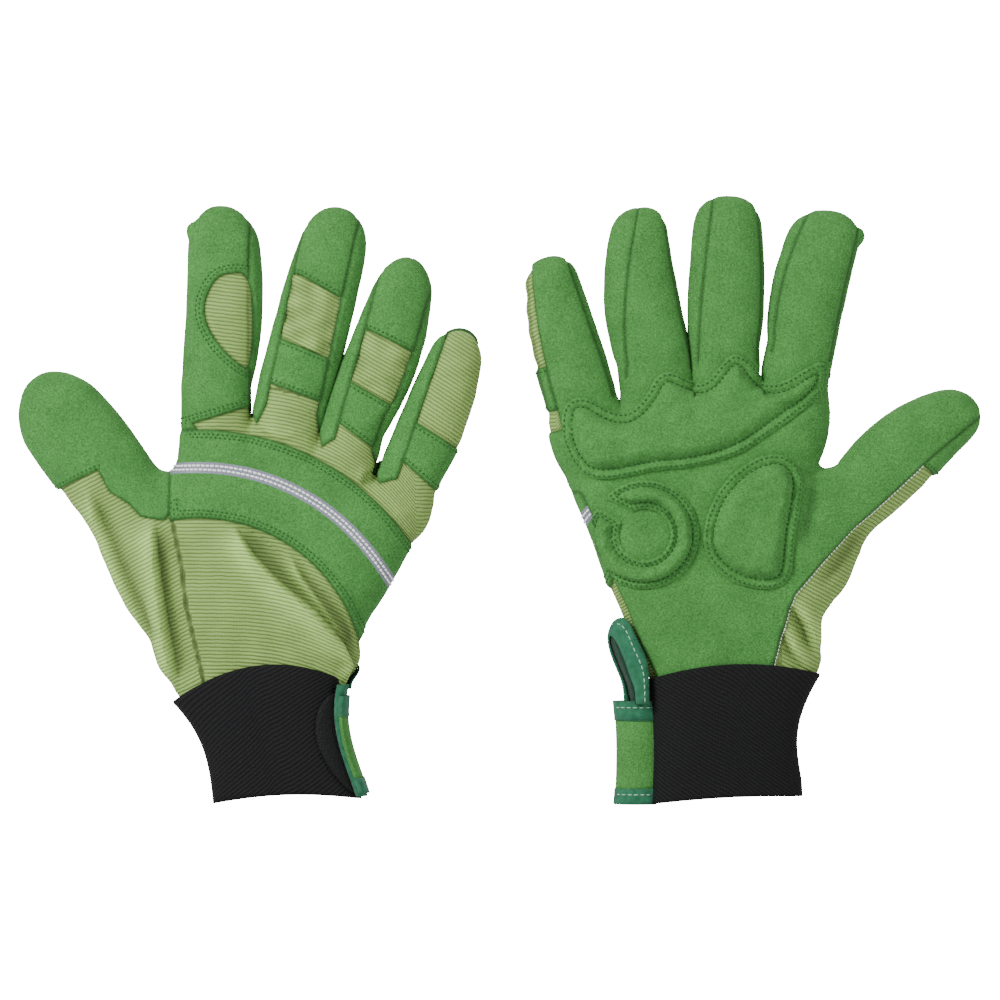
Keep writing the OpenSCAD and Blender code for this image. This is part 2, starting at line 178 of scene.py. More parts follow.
class Digit:
    """One finger or the thumb: its line, from the knuckle hinge to the tip."""

    def __init__(self, glove, name, thick, length, thumb_side, outer_side):
        self.name = name
        knuckle, middle = [
            flat_point(joint_of[f"{glove.mark}{name}_{joint}"]["pos_m"])
            for joint in ("knuckle", "middle")
        ]
        self.at = knuckle
        self.first = float(np.linalg.norm(middle - knuckle))
        self.along = (middle - knuckle) / self.first
        self.across = np.array([self.along[1], -self.along[0]]) * glove.thumb
        self.thick, self.length = thick / 2, length
        self.sides = [np.polyfit(SIDE_AT, side, 2) for side in (thumb_side, outer_side)]
        self.half = float(self.half_width(0.5 * length))
        self.tip_half = float(self.half_width(0.93 * length))

    def place(self, u, v):
        """How far along the digit and how far toward the thumb's side a point is."""
        du, dv = u - self.at[0], v - self.at[1]
        return (
            du * self.along[0] + dv * self.along[1],
            du * self.across[0] + dv * self.across[1],
        )

    def point(self, s, r):
        return self.at + s * self.along + r * self.across

    def edges(self, s):
        """How far the thumb's side and the other side are from the digit's line."""
        share = np.clip(s / self.length, SIDE_FROM, 1)
        return [np.polyval(side, share) for side in self.sides]

    def half_width(self, s):
        toward, away = self.edges(s)
        return (toward + away) / 2

    def share(self, s, r):
        """-1 at one side of the digit, 0 in its middle and 1 at the thumb's side."""
        toward, away = self.edges(s)
        return (r - (toward - away) / 2) * 2 / (toward + away)


class Glove:
    """One glove: its outline, its digits and which way its palm faces."""

    def __init__(self, mark, palm, thumb, palm_outline, digits, design):
        self.mark = mark
        self.palm = palm  # +1 if the palm faces the viewer
        self.thumb = thumb  # +1 if the thumb is on the right
        self.outline = rounded(palm_outline)
        self.digits = {n: Digit(self, n, *digits[n]) for n in DIGITS}
        wrist = joint_of[mark + "wrist"]
        self.wrist = flat_point(wrist["pos_m"])
        hinge = wrist["axis"]
        up = np.array([-hinge[2], hinge[0]]) * (1 if hinge[0] > 0 else -1)
        self.up = up / np.linalg.norm(up)
        self.__dict__.update(design)


# Each digit: thickness, length from the knuckle, then how far its thumb's side and its other
# side are from its line low down, past the middle and near the tip. tip_square says how
# boxy the tips are and tip_long how long they are, in half widths.
LEFT = Glove(
    "a_", -1, -1,
    [(-121, -104), (-126, -92), (-133, -82), (-146, -55), (-164, -20), (-150, -4), (-136, 8),
     (-131, 30), (-104, 32), (-74, 24), (-51, 8), (-27, 2), (-38, -18), (-46, -33), (-59, -53),
     (-57, -66), (-66, -76), (-69, -90), (-67, -104)],
    dict(
        index=(20, 84.6, (15.6, 13.6, 12.9), (13.2, 16.4, 14.6)),
        middle=(20.5, 89, (16.6, 14.5, 12.3), (13.2, 14.6, 14.2)),
        ring=(20, 83.6, (15.4, 12.4, 9.3), (11.6, 15.6, 13.4)),
        little=(18.5, 70.6, (13.2, 11.0, 9.0), (12.8, 14.4, 12.2)),
        thumb=(22, 70, (19.6, 20.4, 17.8), (16.2, 17.4, 16.2)),
    ),
    dict(band_at=(-125, -75), tip_square=2.15, tip_long=1.3),
)
RIGHT = Glove(
    "b_", 1, 1,
    [(67, -104), (66, -84), (62, -72), (56, -60), (50, -44), (45, -34), (38, -12), (32, 2),
     (23, 24), (24, 38), (50, 38), (80, 47), (110, 47), (137, 46), (136, 26), (129, 12),
     (152, -13), (145, -33), (134, -45), (132, -58), (134, -66), (127, -78), (121, -90),
     (120, -104)],
    dict(
        index=(20, 64.6, (11.4, 11.8, 12.4), (16.6, 18.0, 15.6)),
        middle=(20.5, 71.8, (13.2, 14.4, 13.2), (15.7, 15.4, 13.6)),
        ring=(20, 72.4, (14.2, 11.2, 10.0), (16.4, 17.2, 13.4)),
        little=(18.5, 65.2, (12.8, 10.6, 8.9), (16.2, 15.2, 12.8)),
        thumb=(22, 69.5, (15.2, 11.8, 8.2), (15.6, 18.6, 14.6)),
    ),
    dict(band_at=(113, -52), tip_square=2.5, tip_long=1.0),
)
GLOVES = (LEFT, RIGHT)
PALM_T = 14.5  # half thickness of the hand
NECK_T = 9.6  # half thickness inside the cuff
NECK_TO = 36.0  # the hand reaches its thickness this far above HAND_FOOT
HAND_FOOT = -73.0
THIN_AT_FINGERS = 2.5  # how much thinner it gets where the fingers start
EDGE_R = 24.0  # width of the rounding along the edge of the hand
HAND_SQUARE, DIGIT_SQUARE = 2.25, 2.3  # how boxy the sections are: 2 is an ellipse
HAND_DEPTH, DIGIT_DEPTH = 13.0, 11.0  # from the skin in to the middle, about
ROOT, THUMB_ROOT = 8.0, 16.0  # how far a digit reaches back behind its hinge
TIP_THINNER = 0.14  # how much of its thickness a digit loses toward the tip
THUMB_WEB, FINGER_WEB, NUB_WEB = 7.0, 4.5, 3.0  # rounding between joined shapes


def digit_body(glove, d, u, v, w):
    """Below zero inside one digit."""
    s, r = d.place(u, v)
    tip = d.tip_half * glove.tip_long
    end = np.clip(s - d.length + tip, 0, None) / tip
    back = np.clip(-s - (THUMB_ROOT if d.name == "thumb" else ROOT), 0, None) / d.half_width(s)
    reach = boxy(glove.tip_square, d.share(s, r), end, back)
    thick = d.thick * (1 - TIP_THINNER * smooth(s / d.length * 2 - 1))
    return (boxy(DIGIT_SQUARE, reach, w / thick) - 1) * DIGIT_DEPTH


def body(glove, u, v, w):
    """Below zero inside the glove. u and v may be a flat grid and w a third axis."""
    depth = inside(u, v, glove.outline)
    neck = smooth((v - HAND_FOOT) / NECK_TO)
    near_fingers = smooth((v - glove.digits["ring"].at[1] + 30) / 40)
    thick = NECK_T + (PALM_T - NECK_T) * neck - THIN_AT_FINGERS * near_fingers
    edge = np.clip(1 - depth / EDGE_R, 0, None)
    hand = (boxy(HAND_SQUARE, edge, w / thick) - 1) * HAND_DEPTH
    hand = soft_min(hand, digit_body(glove, glove.digits["thumb"], u, v, w), THUMB_WEB)
    fingers = all_of(*[digit_body(glove, glove.digits[n], u, v, w) for n in FINGERS])
    for at, radius in glove.nubs:
        away = np.sqrt((u - at[0]) ** 2 + (v - at[1]) ** 2 + w**2)
        fingers = soft_min(fingers, away - radius, NUB_WEB)
    return soft_min(hand, fingers, FINGER_WEB)


class Sheet:
    """A triangle surface with named values at its points."""

    def __init__(self, points, faces, values=None):
        self.points = points
        self.faces = faces
        self.values = values or {}

    def kept(self, faces):
        used, faces = np.unique(faces, return_inverse=True)
        values = {k: a[used] for k, a in self.values.items()}
        return Sheet(self.points[used], faces.reshape(-1, 3), values)

    def crossed(self, f):
        """Where f changes sign: how many corners of each face are above, which crossed faces
        have one corner above, their corners from the lone one on, the edges that are
        crossed, how far along, and which edge each crossed face has on either side."""
        above = f > 0
        count = above[self.faces].sum(1)
        mixed = self.faces[(count == 1) | (count == 2)]
        lone_above = above[mixed].sum(1) == 1
        lone = np.where(lone_above[:, None], above[mixed], ~above[mixed]).argmax(1)
        a, b, c = [mixed[np.arange(len(mixed)), (lone + k) % 3] for k in range(3)]
        pairs = np.concatenate([np.stack([a, b], 1), np.stack([a, c], 1)])
        edges, which = np.unique(np.sort(pairs, 1), axis=0, return_inverse=True)
        which = which.reshape(-1)
        lo, hi = edges[:, 0], edges[:, 1]
        share = f[lo] / (f[lo] - f[hi])
        return count, lone_above, (a, b, c), (lo, hi), share, (which[: len(a)], which[len(a) :])

    def cut(self, field):
        """The part where field is above zero, and the part where it is below."""
        f = np.where(np.abs(field) < 1e-5, 1e-5, field)
        count, lone_above, (a, b, c), (lo, hi), t, (ab, ac) = self.crossed(f)
        ab, ac = ab + len(self.points), ac + len(self.points)

        def mix(x):
            share = t.reshape((-1,) + (1,) * (x.ndim - 1))
            return np.concatenate([x, x[lo] * (1 - share) + x[hi] * share])

        tips = np.stack([a, ab, ac], 1)
        stumps = np.concatenate([np.stack([ab, b, c], 1), np.stack([ab, c, ac], 1)])
        twice = np.concatenate([lone_above, lone_above])
        whole = Sheet(mix(self.points), self.faces, {k: mix(x) for k, x in self.values.items()})
        up = [self.faces[count == 3], tips[lone_above], stumps[~twice]]
        down = [self.faces[count == 0], tips[~lone_above], stumps[twice]]
        return whole.kept(np.concatenate(up)), whole.kept(np.concatenate(down))

    def take(self, name, level=0):
        """The parts where a named value is above and below a level, either of them empty."""
        none = self.faces[:0]
        if not len(self.faces):
            return self, self
        f = self.values[name] - level
        if f.min() > 0:
            return self, self.kept(none)
        if f.max() < 0:
            return self.kept(none), self
        return self.cut(f)

    def split(self, name, level=0):
        """The same surface, with points put in along the line where a value has one level."""
        f = self.values[name] - level
        return self if f.max() < 0 or f.min() > 0 else joined(self.cut(f))

    def normals(self):
        p = self.points[self.faces]
        n = np.cross(p[:, 1] - p[:, 0], p[:, 2] - p[:, 0])
        total = np.zeros_like(self.points)
        for k in range(3):
            np.add.at(total, self.faces[:, k], n)
        return total / np.maximum(np.linalg.norm(total, axis=1, keepdims=True), 1e-9)

    def border(self):
        """Directed edges that only one face uses."""
        e = np.concatenate([self.faces[:, [0, 1]], self.faces[:, [1, 2]], self.faces[:, [2, 0]]])
        key = np.sort(e, 1)
        _, which, times = np.unique(key, axis=0, return_inverse=True, return_counts=True)
        return e[times[which.reshape(-1)] == 1]

    def lines(self, field, level=0.0):
        """Lines along which the field has one value, as arrays of points and normals."""
        f = field - level
        f = np.where(np.abs(f) < 1e-6, 1e-6, f)
        _, lone_above, _, (lo, hi), t, (before, after) = self.crossed(f)
        if not len(lone_above):
            return []
        t = t[:, None]
        points = self.points[lo] * (1 - t) + self.points[hi] * t
        n = self.normals()
        normals = n[lo] * (1 - t) + n[hi] * t
        near = [[] for _ in lo]
        for x, y in zip(before.tolist(), after.tolist()):
            near[x].append(y)
            near[y].append(x)
        done = np.zeros(len(near), bool)
        found = []
        ends = [k for k in range(len(near)) if len(near[k]) == 1]
        for start in ends + list(range(len(near))):
            if done[start]:
                continue
            chain = [start]
            done[start] = True
            while True:
                onward = [k for k in near[chain[-1]] if not done[k]]
                if not onward:
                    break
                done[onward[0]] = True
                chain.append(onward[0])
            if len(chain) > 2 and chain[0] in near[chain[-1]]:
                chain.append(chain[0])
            if len(chain) > 2:
                found.append((points[chain], normals[chain]))
        return found


def joined(sheets):
    """Sheets cut from one surface, sewn together again."""
    full = [x for x in sheets if len(x.faces)]
    if len(full) < 2:
        return full[0] if full else sheets[0]
    sheets = full
    count = np.cumsum([0] + [len(x.points) for x in sheets])
    points = np.concatenate([x.points for x in sheets])
    faces = np.concatenate([x.faces + c for x, c in zip(sheets, count)])
    _, first, which = np.unique(np.round(points, 4), axis=0, return_index=True, return_inverse=True)
    faces = which.reshape(-1)[faces]
    whole = (faces[:, 0] != faces[:, 1]) & (faces[:, 1] != faces[:, 2]) & (faces[:, 2] != faces[:, 0])
    values = {k: np.concatenate([x.values[k] for x in sheets])[first] for k in sheets[0].values}
    return Sheet(points[first], faces[whole], values)


def skin(glove):
    """The glove's whole closed surface, from its solid."""
    tips = np.array([d.point(d.length, 0) for d in glove.digits.values()])
    u_all = np.concatenate([glove.outline[:, 0], tips[:, 0]])
    us = np.arange(u_all.min() - 22, u_all.max() + 22, CELL)
    vs = np.arange(SKIN_FOOT, tips[:, 1].max() + 6, CELL)
    ws = np.arange(-PALM_T - 3, PALM_T + 3 + CELL, CELL)
    u, v = np.meshgrid(us, vs, indexing="ij")
    values = body(glove, u[..., None], v[..., None], ws[None, None, :])
    grid = openvdb.FloatGrid(100.0)
    grid.copyFromArray(values.astype(np.float32))
    points, quads = grid.convertToQuads(0.0)
    points = points.astype(float) * CELL + [us[0], vs[0], ws[0]]
    quads = quads.astype(int)
    faces = np.concatenate([quads[:, [0, 1, 2]], quads[:, [0, 2, 3]]])
    sheet = Sheet(points, faces)
    # every point is moved onto the true surface, down the slope of its field
    step = 0.2
    for _ in range(3):
        here = body(glove, *sheet.points.T)
        moved = [body(glove, *(sheet.points + step * axis).T) for axis in np.eye(3)]
        slope = np.stack([m - here for m in moved], 1) / step
        size = (slope**2).sum(1, keepdims=True)
        move = -here[:, None] * slope / np.maximum(size, 1e-3)
        sheet.points = sheet.points + np.clip(move, -0.6, 0.6)
    sheet.values["normal"] = slope / np.sqrt(np.maximum(size, 1e-6))
    if (sheet.normals() * slope).sum() < 0:
        sheet.faces = sheet.faces[:, ::-1]
    return sheet


# ---- The seams and panels, drawn on each glove ----

# r is millimetres toward the thumb's side of a digit's line. Places along a digit are given
# for the left glove and scaled to the other's length.
# Seams on the palm side of a finger, as shares of its half width: toward the little finger
# at the knuckle and at the tip, then toward the thumb
SIDE_SEAMS = dict(
    index=(0.86, 0.7, 1.3, 1.3), middle=(0.8, 0.5, 0.93, 0.9), ring=(0.85, 0.05, 0.95, 0.92),
    little=(0.96, 0.9, 0.92, 0.8),
)
FOLD_GAIN = 1.45  # how much deeper the folds are than in their list
FOLD_DROP = 1.9  # width of the steep side of a fold, which is on the right of its line
WRAP = 3.2  # how far the knit of the back comes round onto the palm on the outer side
FAR = 9.0  # what a distance is set to where a seam doesn't run
ON_FINGER = 1.08  # how many half widths from its line a finger's own seams and ribs reach
WIDE = 1.35  # the same for the thumb
PATCH_WIDE, PATCH_ROUND = 1.3, 0.9  # the same for the patch of the index finger, and its side
INDEX_SEAM = -11.5
LITTLE_SEAM = 5.5
RING_SIDE = ([0, 18, 25, 46], [-6.8, -8.2, -10.8, -12.7])  # the ring finger's outer seam
# Each finger's strip of the back hand, from r to r
STRIPS = dict(index=(INDEX_SEAM, 40), middle=(-9.5, 12.0), ring=(-7.0, 8.7), little=(-40, LITTLE_SEAM))
STRIP_FROM = dict(middle=10, ring=10, little=6)  # how far below the knuckle a strip begins
# Where the band, the window and the cap begin on the back of a finger, as places r and how
# far along the finger the edge is there
BAND_EDGES = dict(
    middle=(([-9.4, 11.7], [8.6, 11.8]), ([-8.5, 11.8], [27.4, 31.2]), ([-10.3, 9.3], [52.3, 58.3])),
    ring=(([-14, -6.2, 12.4], [1, 3.8, 11.1]), ([-14, 8.7], [21.8, 27.7]), ([-14, 6.6], [46, 50])),
    little=(([-12.1, 5.2], [3.1, 10.4]), ([-12.6, 3.6], [23.4, 27.3]), None),
)
# The same for the lower edges of the index finger's patch and of the thumb's cap
PATCH_LOW = ([-13, 3, 15], [2, -3, -6.5])
CAP_LOW = ([2.5, 19.5], [24, 28])
WINDOW = rounded([(16, -13), (57, -13.5), (57, -1), (52, 4), (42, 7.5), (31, 4), (20, -6)])
THUMB_SEAM = [(68.4, 3.2), (38.7, 5.6), (21.5, 8.2), (-0.8, 10.7)]
THUMB_SUEDE = [(-9.4, -5.4), (-2, 1), (5, 1.4), (14, 4.5), (24, 2.5), (28, 19.5), (28, 60),
               (120, 60), (120, -40), (-9.4, -40)]
BAND_INNER, BAND_OUTER = 69.0, 106.0  # radii of the band over the knuckles
PIPING_R, PIPING_HALF = 90.0, 2.3  # radius and half width of the piping on it

PAD_NAMES = ("finger_pad", "heel_pad", "thumb_pad")
# Of each pad: from its edge to its inner stitches, how far it stands up, and how far inside
# the stitches it is at full height
PAD_SHAPE = dict(finger_pad=(4.2, 3.3, 4.6), heel_pad=(2.9, 2.8, 2.6), thumb_pad=(4.2, 4.0, 4.6))
PAD_GAIN = {1: 1.0, -1: 0.9}  # of the glove with its palm to the viewer, and of the other
PADS = {
    "finger_pad": [
        (27, 43), (36, 45), (45, 38), (53, 36), (61, 45), (64, 52.5), (70, 56), (80, 50),
        (86, 50), (92, 59), (97, 63), (103, 60), (109, 50), (117, 50), (127, 57), (134, 60),
        (135.5, 53), (133, 46), (124, 37), (110, 27.5), (98, 20), (80, 15), (64, 14),
        (47, 10), (36, 11), (29, 20), (25.5, 31),
    ],
    "thumb_pad": [
        (93, 10), (103, 18), (113, 21.5), (121, 19), (125, 12), (125, 3), (122, -14),
        (121, -30), (114, -36), (98, -34), (86, -24), (83.5, -14), (86, -2),
    ],
}
# The heel's pad is a ring with a gap: its centre, radii and the gap
RING_AT, RING_OUT, RING_HOLE = (60.0, -12.5), 22.5, 10.5
RING_GAP = [(57, -4.5), (46, 1.5), (36, 5), (36, 0), (44, -2.5), (53, -9)]
# The middle of the palm on each glove, its size, and how far the left one is turned
PALM_AT = {1: (85.0, -10.0), -1: (-90.0, -20.0)}
PALM_SIZE = {1: 1.0, -1: 0.88}
PALM_TURN = math.radians(8)
BACK_DIP = 5.5  # how far the back hand's edge dips between two fingers


def on_pad_drawing(glove, u, v):
    """The same point of the palm on the right glove's drawing, where the pads are set out."""
    if glove.palm > 0:
        return u, v
    du, dv = u - PALM_AT[-1][0], v - PALM_AT[-1][1]
    c, s = math.cos(PALM_TURN), math.sin(PALM_TURN)
    x, y = c * du - s * dv, s * du + c * dv
    return PALM_AT[1][0] - x / PALM_SIZE[-1], PALM_AT[1][1] + y / PALM_SIZE[-1]


# Small corners of fabric that stick out at a fingertip, where a side seam ends
LEFT.nubs = [(LEFT.digits["index"].point(75.0, 11.2), 2.6)]
RIGHT.nubs = [(RIGHT.digits["index"].point(57.0, 11.6), 2.6)]
# What differs from glove to glove: the outer side of the hand, the seam from the thumb down
# to the wrist, the seam beside the thumb on the back, how much further up the thumb's cap
# begins, and how far past its centre the band over the knuckles ends
LEFT.heel = [(-27, 2), (-38, -18), (-46, -33), (-59, -53), (-57, -66), (-66, -76), (-69, -104)]
LEFT.seam = [(-153, -24), (-140, -42), (-130, -58), (-124, -75), (-122, -106)]
LEFT.back_seam = [(-136, -6), (-132, -25), (-130, -42), (-126, -60), (-122, -78), (-120, -100)]
LEFT.cap_at = 0.0
LEFT.band_end = 12.0
# The main folds: +1 on the back or -1 on the palm, height, width and the line of the crest
LEFT.folds = [
    (1, 2.8, 7.0, [(-61.7, -65.4), (-66, -58), (-77, -45.4), (-91.7, -32.9), (-102.5, -21.7),
                   (-111, -9)]),
    (1, 1.9, 3.6, [(-62, -58), (-73.3, -42.7), (-82.5, -30.8), (-88, -20)]),
    (1, 2.6, 5.5, [(-135, -74), (-139, -50), (-142.5, -25), (-144, -6)]),
    (1, 2.0, 5.5, [(-145, -60), (-160, -25), (-171, 5)]),
    (1, 1.7, 2.6, [(-66, -77), (-62, -66), (-67, -58)]),
    (1, 1.3, 4.0, [(-100, 33), (-92, 27), (-84, 29)]),
    (1, 1.2, 3.0, [(-60, 6), (-56, 14), (-50, 17)]),
]
RIGHT.heel = [(32, 2), (38, -12), (45, -34), (50, -44), (56, -60), (62, -72), (67, -104)]
RIGHT.seam = [(133.3, -24.4), (121.8, -37.9), (117.7, -50.4), (113.5, -66), (112, -106)]
RIGHT.back_seam = [(129, 11), (126, -8), (124, -23), (120, -42), (116, -60), (114, -100)]
RIGHT.cap_at = 12.0
RIGHT.band_end = 27.0
RIGHT.folds = [
    (-1, 2.6, 4.0, [(121, -40), (127.5, -50), (132, -63)]),
    (-1, 2.0, 3.4, [(117.5, -50), (121.5, -60), (128, -69)]),
    (-1, -1.6, 3.0, [(152, -9), (141, -24), (131, -36)]),
    (-1, -2.6, 2.2, [(100, 24), (114, 26), (125, 21), (131, 10)]),
    (-1, -2.0, 2.4, [(117, 35), (127, 31), (135, 22)]),
    (-1, -1.4, 2.8, [(131, 12), (129, -2), (125, -20)]),
    (1, 2.8, 7.0, [(64, -50), (72, -36), (88, -15), (104, 2)]),
    (1, 1.9, 3.6, [(62, -36), (74, -22), (84, -8)]),
    (1, 2.6, 5.5, [(120, -60), (128, -20), (133, 8)]),
    (1, 2.0, 5.5, [(134, -46), (148, -16), (158, 2)]),
]


class Places:
    """Where points of the skin are on the drawing, and along and across each digit.

    place is in millimetres along and across a digit, s is scaled to the left glove's."""

    def __init__(self, glove, points):
        digits = glove.digits
        self.u, self.v, w = points.T
        self.back = -glove.palm * w
        self.place = {n: digits[n].place(self.u, self.v) for n in DIGITS}
        self.scale = {n: digits[n].length / LEFT.digits[n].length for n in DIGITS}
        self.s = {n: self.place[n][0] / self.scale[n] for n in DIGITS}
        self.r = {n: self.place[n][1] for n in DIGITS}
        self.half = {n: digits[n].half for n in DIGITS}
        self.share = {n: digits[n].share(*self.place[n]) for n in DIGITS}


def back_hand(glove, at):
    """The back of the hand, whose upper edge dips into the gaps between the fingers."""
    top = []
    for k, n in enumerate(FINGERS):
        d = glove.digits[n]
        low, high = STRIPS[n]
        top += [d.point(3, high), d.point(3, low)]
        if n != "little":
            after = glove.digits[FINGERS[k + 1]]
            gap = d.point(0, low) + after.point(0, STRIPS[after.name][1])
            top.append(gap / 2 - BACK_DIP * d.along)
    corners = [(-90, -115), (120, -115), (120, 70)]
    edge = [(glove.wrist[0] + x * glove.thumb, y) for x, y in corners]
    return all_of(inside(at.u, at.v, edge + top), at.back)


def beyond_seam(glove, at):
    """The thumb's side of the seam that runs from the thumb down to the wrist."""
    thumb = glove.digits["thumb"]
    seam = [thumb.point(s * at.scale["thumb"], r) for s, r in THUMB_SEAM] + list(glove.seam)
    corner = glove.wrist[0] + 130 * glove.thumb
    return inside(at.u, at.v, seam + [(corner, -115), (corner, 110)])


def finger_strips(at):
    """The strips on the backs of the middle, ring and little finger."""
    found = {}
    for n, below in STRIP_FROM.items():
        low, high = STRIPS[n]
        side = at.r[n] - (np.interp(at.s[n], *RING_SIDE) if n == "ring" else low)
        strip = all_of(side, high - at.r[n], at.back)
        if n == "little":
            round_side = (-1 - at.share[n]) * at.half[n] + WRAP + 0.8
            strip = any_of(all_of(high - at.r[n], at.back), round_side)
        found[n] = all_of(strip, at.s[n] + below)
    return found


def add_panels(f, glove, at):
    """The knit and the suede panels of the back. Gives the knuckle band and the ribbed back."""
    s, r, half, back = at.s, at.r, at.half, at.back
    outer = WRAP - line_distance(at.u, at.v, glove.heel)[0]
    f["thumb_line"] = beyond_seam(glove, at)
    cap_edge = np.interp(r["thumb"], *CAP_LOW) + glove.cap_at
    on_thumb = WIDE * half["thumb"] - np.abs(r["thumb"])
    f["thumb_cap"] = all_of(s["thumb"] - cap_edge, any_of(back, f["thumb_line"]), on_thumb)
    shifted = s["thumb"] - glove.cap_at * smooth((s["thumb"] - 8) / 16)
    thumb_suede = inside(shifted, r["thumb"], THUMB_SUEDE)
    hand = any_of(back_hand(glove, at), outer, all_of(f["thumb_line"], cap_edge - s["thumb"]))

    index = r["index"] - INDEX_SEAM
    above_edge = s["index"] - np.interp(r["index"], *PATCH_LOW)
    round_side = (at.share["index"] - PATCH_ROUND) * half["index"]
    on_index = PATCH_WIDE * half["index"] - np.abs(r["index"])
    f["index_patch"] = all_of(any_of(all_of(index, back), round_side), above_edge, on_index)
    window = all_of(inside(s["index"], r["index"], WINDOW), back)

    strip = finger_strips(at)

    def part(n, low_edge, high_edge):
        field = strip[n]
        if low_edge:
            field = all_of(field, s[n] - np.interp(r[n], *low_edge))
        if high_edge:
            field = all_of(field, np.interp(r[n], *high_edge) - s[n])
        return field

    below, windows = [], []
    for n, (band_low, window_low, cap_low) in BAND_EDGES.items():
        below.append(part(n, None, band_low))
        f[n + "_band"] = part(n, band_low, window_low)
        windows.append(part(n, window_low, cap_low))
        if cap_low:
            f[n + "_cap"] = part(n, cap_low, None)

    from_centre = np.hypot(at.u - glove.band_at[0], at.v - glove.band_at[1])
    band = all_of(
        from_centre - BAND_INNER, BAND_OUTER - from_centre,
        glove.band_end - (at.u - glove.band_at[0]) * glove.thumb,
    )
    f["knuckle_band"] = all_of(band, any_of(back, all_of(outer, 3)))
    f["from_piping"] = from_centre - PIPING_R
    f["piping"] = PIPING_HALF - np.abs(f["from_piping"])
    ribbed = all_of(any_of(hand, *below), -all_of(above_edge, index), -band, -thumb_suede)
    ribbed = any_of(ribbed, *windows)
    f["knit"] = any_of(ribbed, window)
    back_seam = line_distance(at.u, at.v, glove.back_seam)[0]
    f["back_seam"] = np.where(back > 0, back_seam, FAR) + FAR * (band > 0)
    return band, ribbed


def add_suede_seams(f, at):
    """Distance to the nearest seam between suede and suede, and each finger's front."""
    edges = ("middle_cap", "ring_cap", "middle_band", "ring_band", "knuckle_band", "little_band")
    joins = [np.abs(f[n]) for n in edges]
    joins.append(np.where(at.back > 0.5, FAR, np.abs(f["thumb_cap"])))
    joins.append(np.where(at.s["index"] > 4, np.abs(f["index_patch"]), FAR))
    for n in FINGERS:
        s, share = at.s[n], at.share[n]
        low, low_tip, high, high_tip = SIDE_SEAMS[n]
        up = np.clip(s / LEFT.digits[n].length, 0, 1)
        across_seam = at.half[n] * all_of(
            share + low + (low_tip - low) * up, high + (high_tip - high) * up - share
        )
        f[n + "_front"] = all_of(across_seam, 2 - at.back, s + 3)
        here = (at.back < 2) & (s > -3) & (np.abs(share) < ON_FINGER)
        joins.append(np.where(here, np.abs(across_seam) + 6 * smooth((4 - s) / 7), FAR))
    f["seam"] = all_of(*joins)


def add_pads(f, glove, at):
    """The padded patches of the palm."""
    u, v = on_pad_drawing(glove, at.u, at.v)
    pad = {n: inside(u, v, rounded(PADS[n])) for n in PADS}
    from_ring = np.hypot(u - RING_AT[0], v - RING_AT[1])
    pad["heel_pad"] = all_of(RING_OUT - from_ring, from_ring - RING_HOLE, -inside(u, v, RING_GAP))
    for n in PAD_NAMES:
        f[n] = all_of(pad[n] * PALM_SIZE[glove.palm], -at.back)
    f["pad"] = any_of(*[f[n] for n in PAD_NAMES])


def add_bends(f, glove, points, at):
    """Where the glove bends."""
    for n in DIGITS:
        f[n + "_s"] = at.place[n][0]
    f["thumb_zone"] = all_of(
        f["thumb_s"] - BASE_FROM, WIDE * glove.digits["thumb"].half - np.abs(at.r["thumb"])
    )
    for one, two in zip(FINGERS[:-1], FINGERS[1:]):
        f[one + "_side"] = np.abs(at.share[two]) - np.abs(at.share[one])
    f["above_wrist"] = (points[:, :2] - glove.wrist) @ glove.up


def across_ribs(glove, at):
    """A place that grows across the ribs: up the hand, along each finger, round the thumb."""
    droop = 5.5e-5 * np.clip((glove.band_at[0] - at.u) * glove.thumb, -10, 90) ** 3
    at_thumb = wrap_side(glove, at.u, at.v)
    turn = math.radians(27) * -glove.thumb
    turned = at.v * math.cos(turn) - at.u * math.sin(turn)
    across = (at.v + droop) * (1 - at_thumb) + turned * at_thumb
    for n, slant in (("middle", 0.25), ("ring", 0.25), ("little", 0.25), ("index", 0.12)):
        near = (at.s[n] > 10) & (np.abs(at.share[n]) < ON_FINGER)
        across = np.where(near, at.place[n][0] - slant * at.r[n], across)
    return across


def fold_height(glove, at, band, ribbed):
    """The folds that the knit hangs in, and small wrinkles near the fingers. The fabrics also paint shade
    into their valleys and highlight onto their crests from this height.
    """
    u, v = at.u, at.v
    fold = np.zeros(len(u))
    for side, rise, wide, line in glove.folds:
        gap, along, left = line_distance(u, v, line)
        whole = float(np.linalg.norm(np.diff(line, axis=0), axis=1).sum())
        fade = smooth((along + 2) / 12) * smooth((whole + 2 - along) / 14)
        fade = fade * smooth(side * at.back / 3 + 0.5)
        drop = np.where((left < 0) & (rise > 0), 2 * smooth(gap / FOLD_DROP), 0)
        fold = fold + FOLD_GAIN * rise * fade * (1 - drop) * np.exp(-((gap / wide) ** 2))
    wrinkle = 0.9 * ripple(u + 0.5 * v, v * 1.6, 8, 13) * smooth((v - 44) / 10) * (ribbed > 0)
    wrinkle = wrinkle * np.where(np.abs(at.share["little"]) < 1.1, 0.35, 1)
    return fold * smooth(-band / 3) + wrinkle


def fields(glove, points):
    """Signed fields at points of the skin, in millimetres and above zero inside a panel."""
    at = Places(glove, points)
    f = {"back": at.back}
    band, ribbed = add_panels(f, glove, at)
    add_suede_seams(f, at)
    add_pads(f, glove, at)
    add_bends(f, glove, points, at)
    f["across"] = across_ribs(glove, at)
    f["fold"] = fold_height(glove, at, band, ribbed)
    return f


def wrap_side(glove, u, v):
    """1 on the thumb's side of the seam on the back, 0 on the hand's side."""
    line = np.array(glove.back_seam, float)
    line = line[np.argsort(line[:, 1])]
    seam_u = np.interp(v, line[:, 1], line[:, 0])
    return smooth((glove.thumb * (u - seam_u) + 0.6) / 1.2)


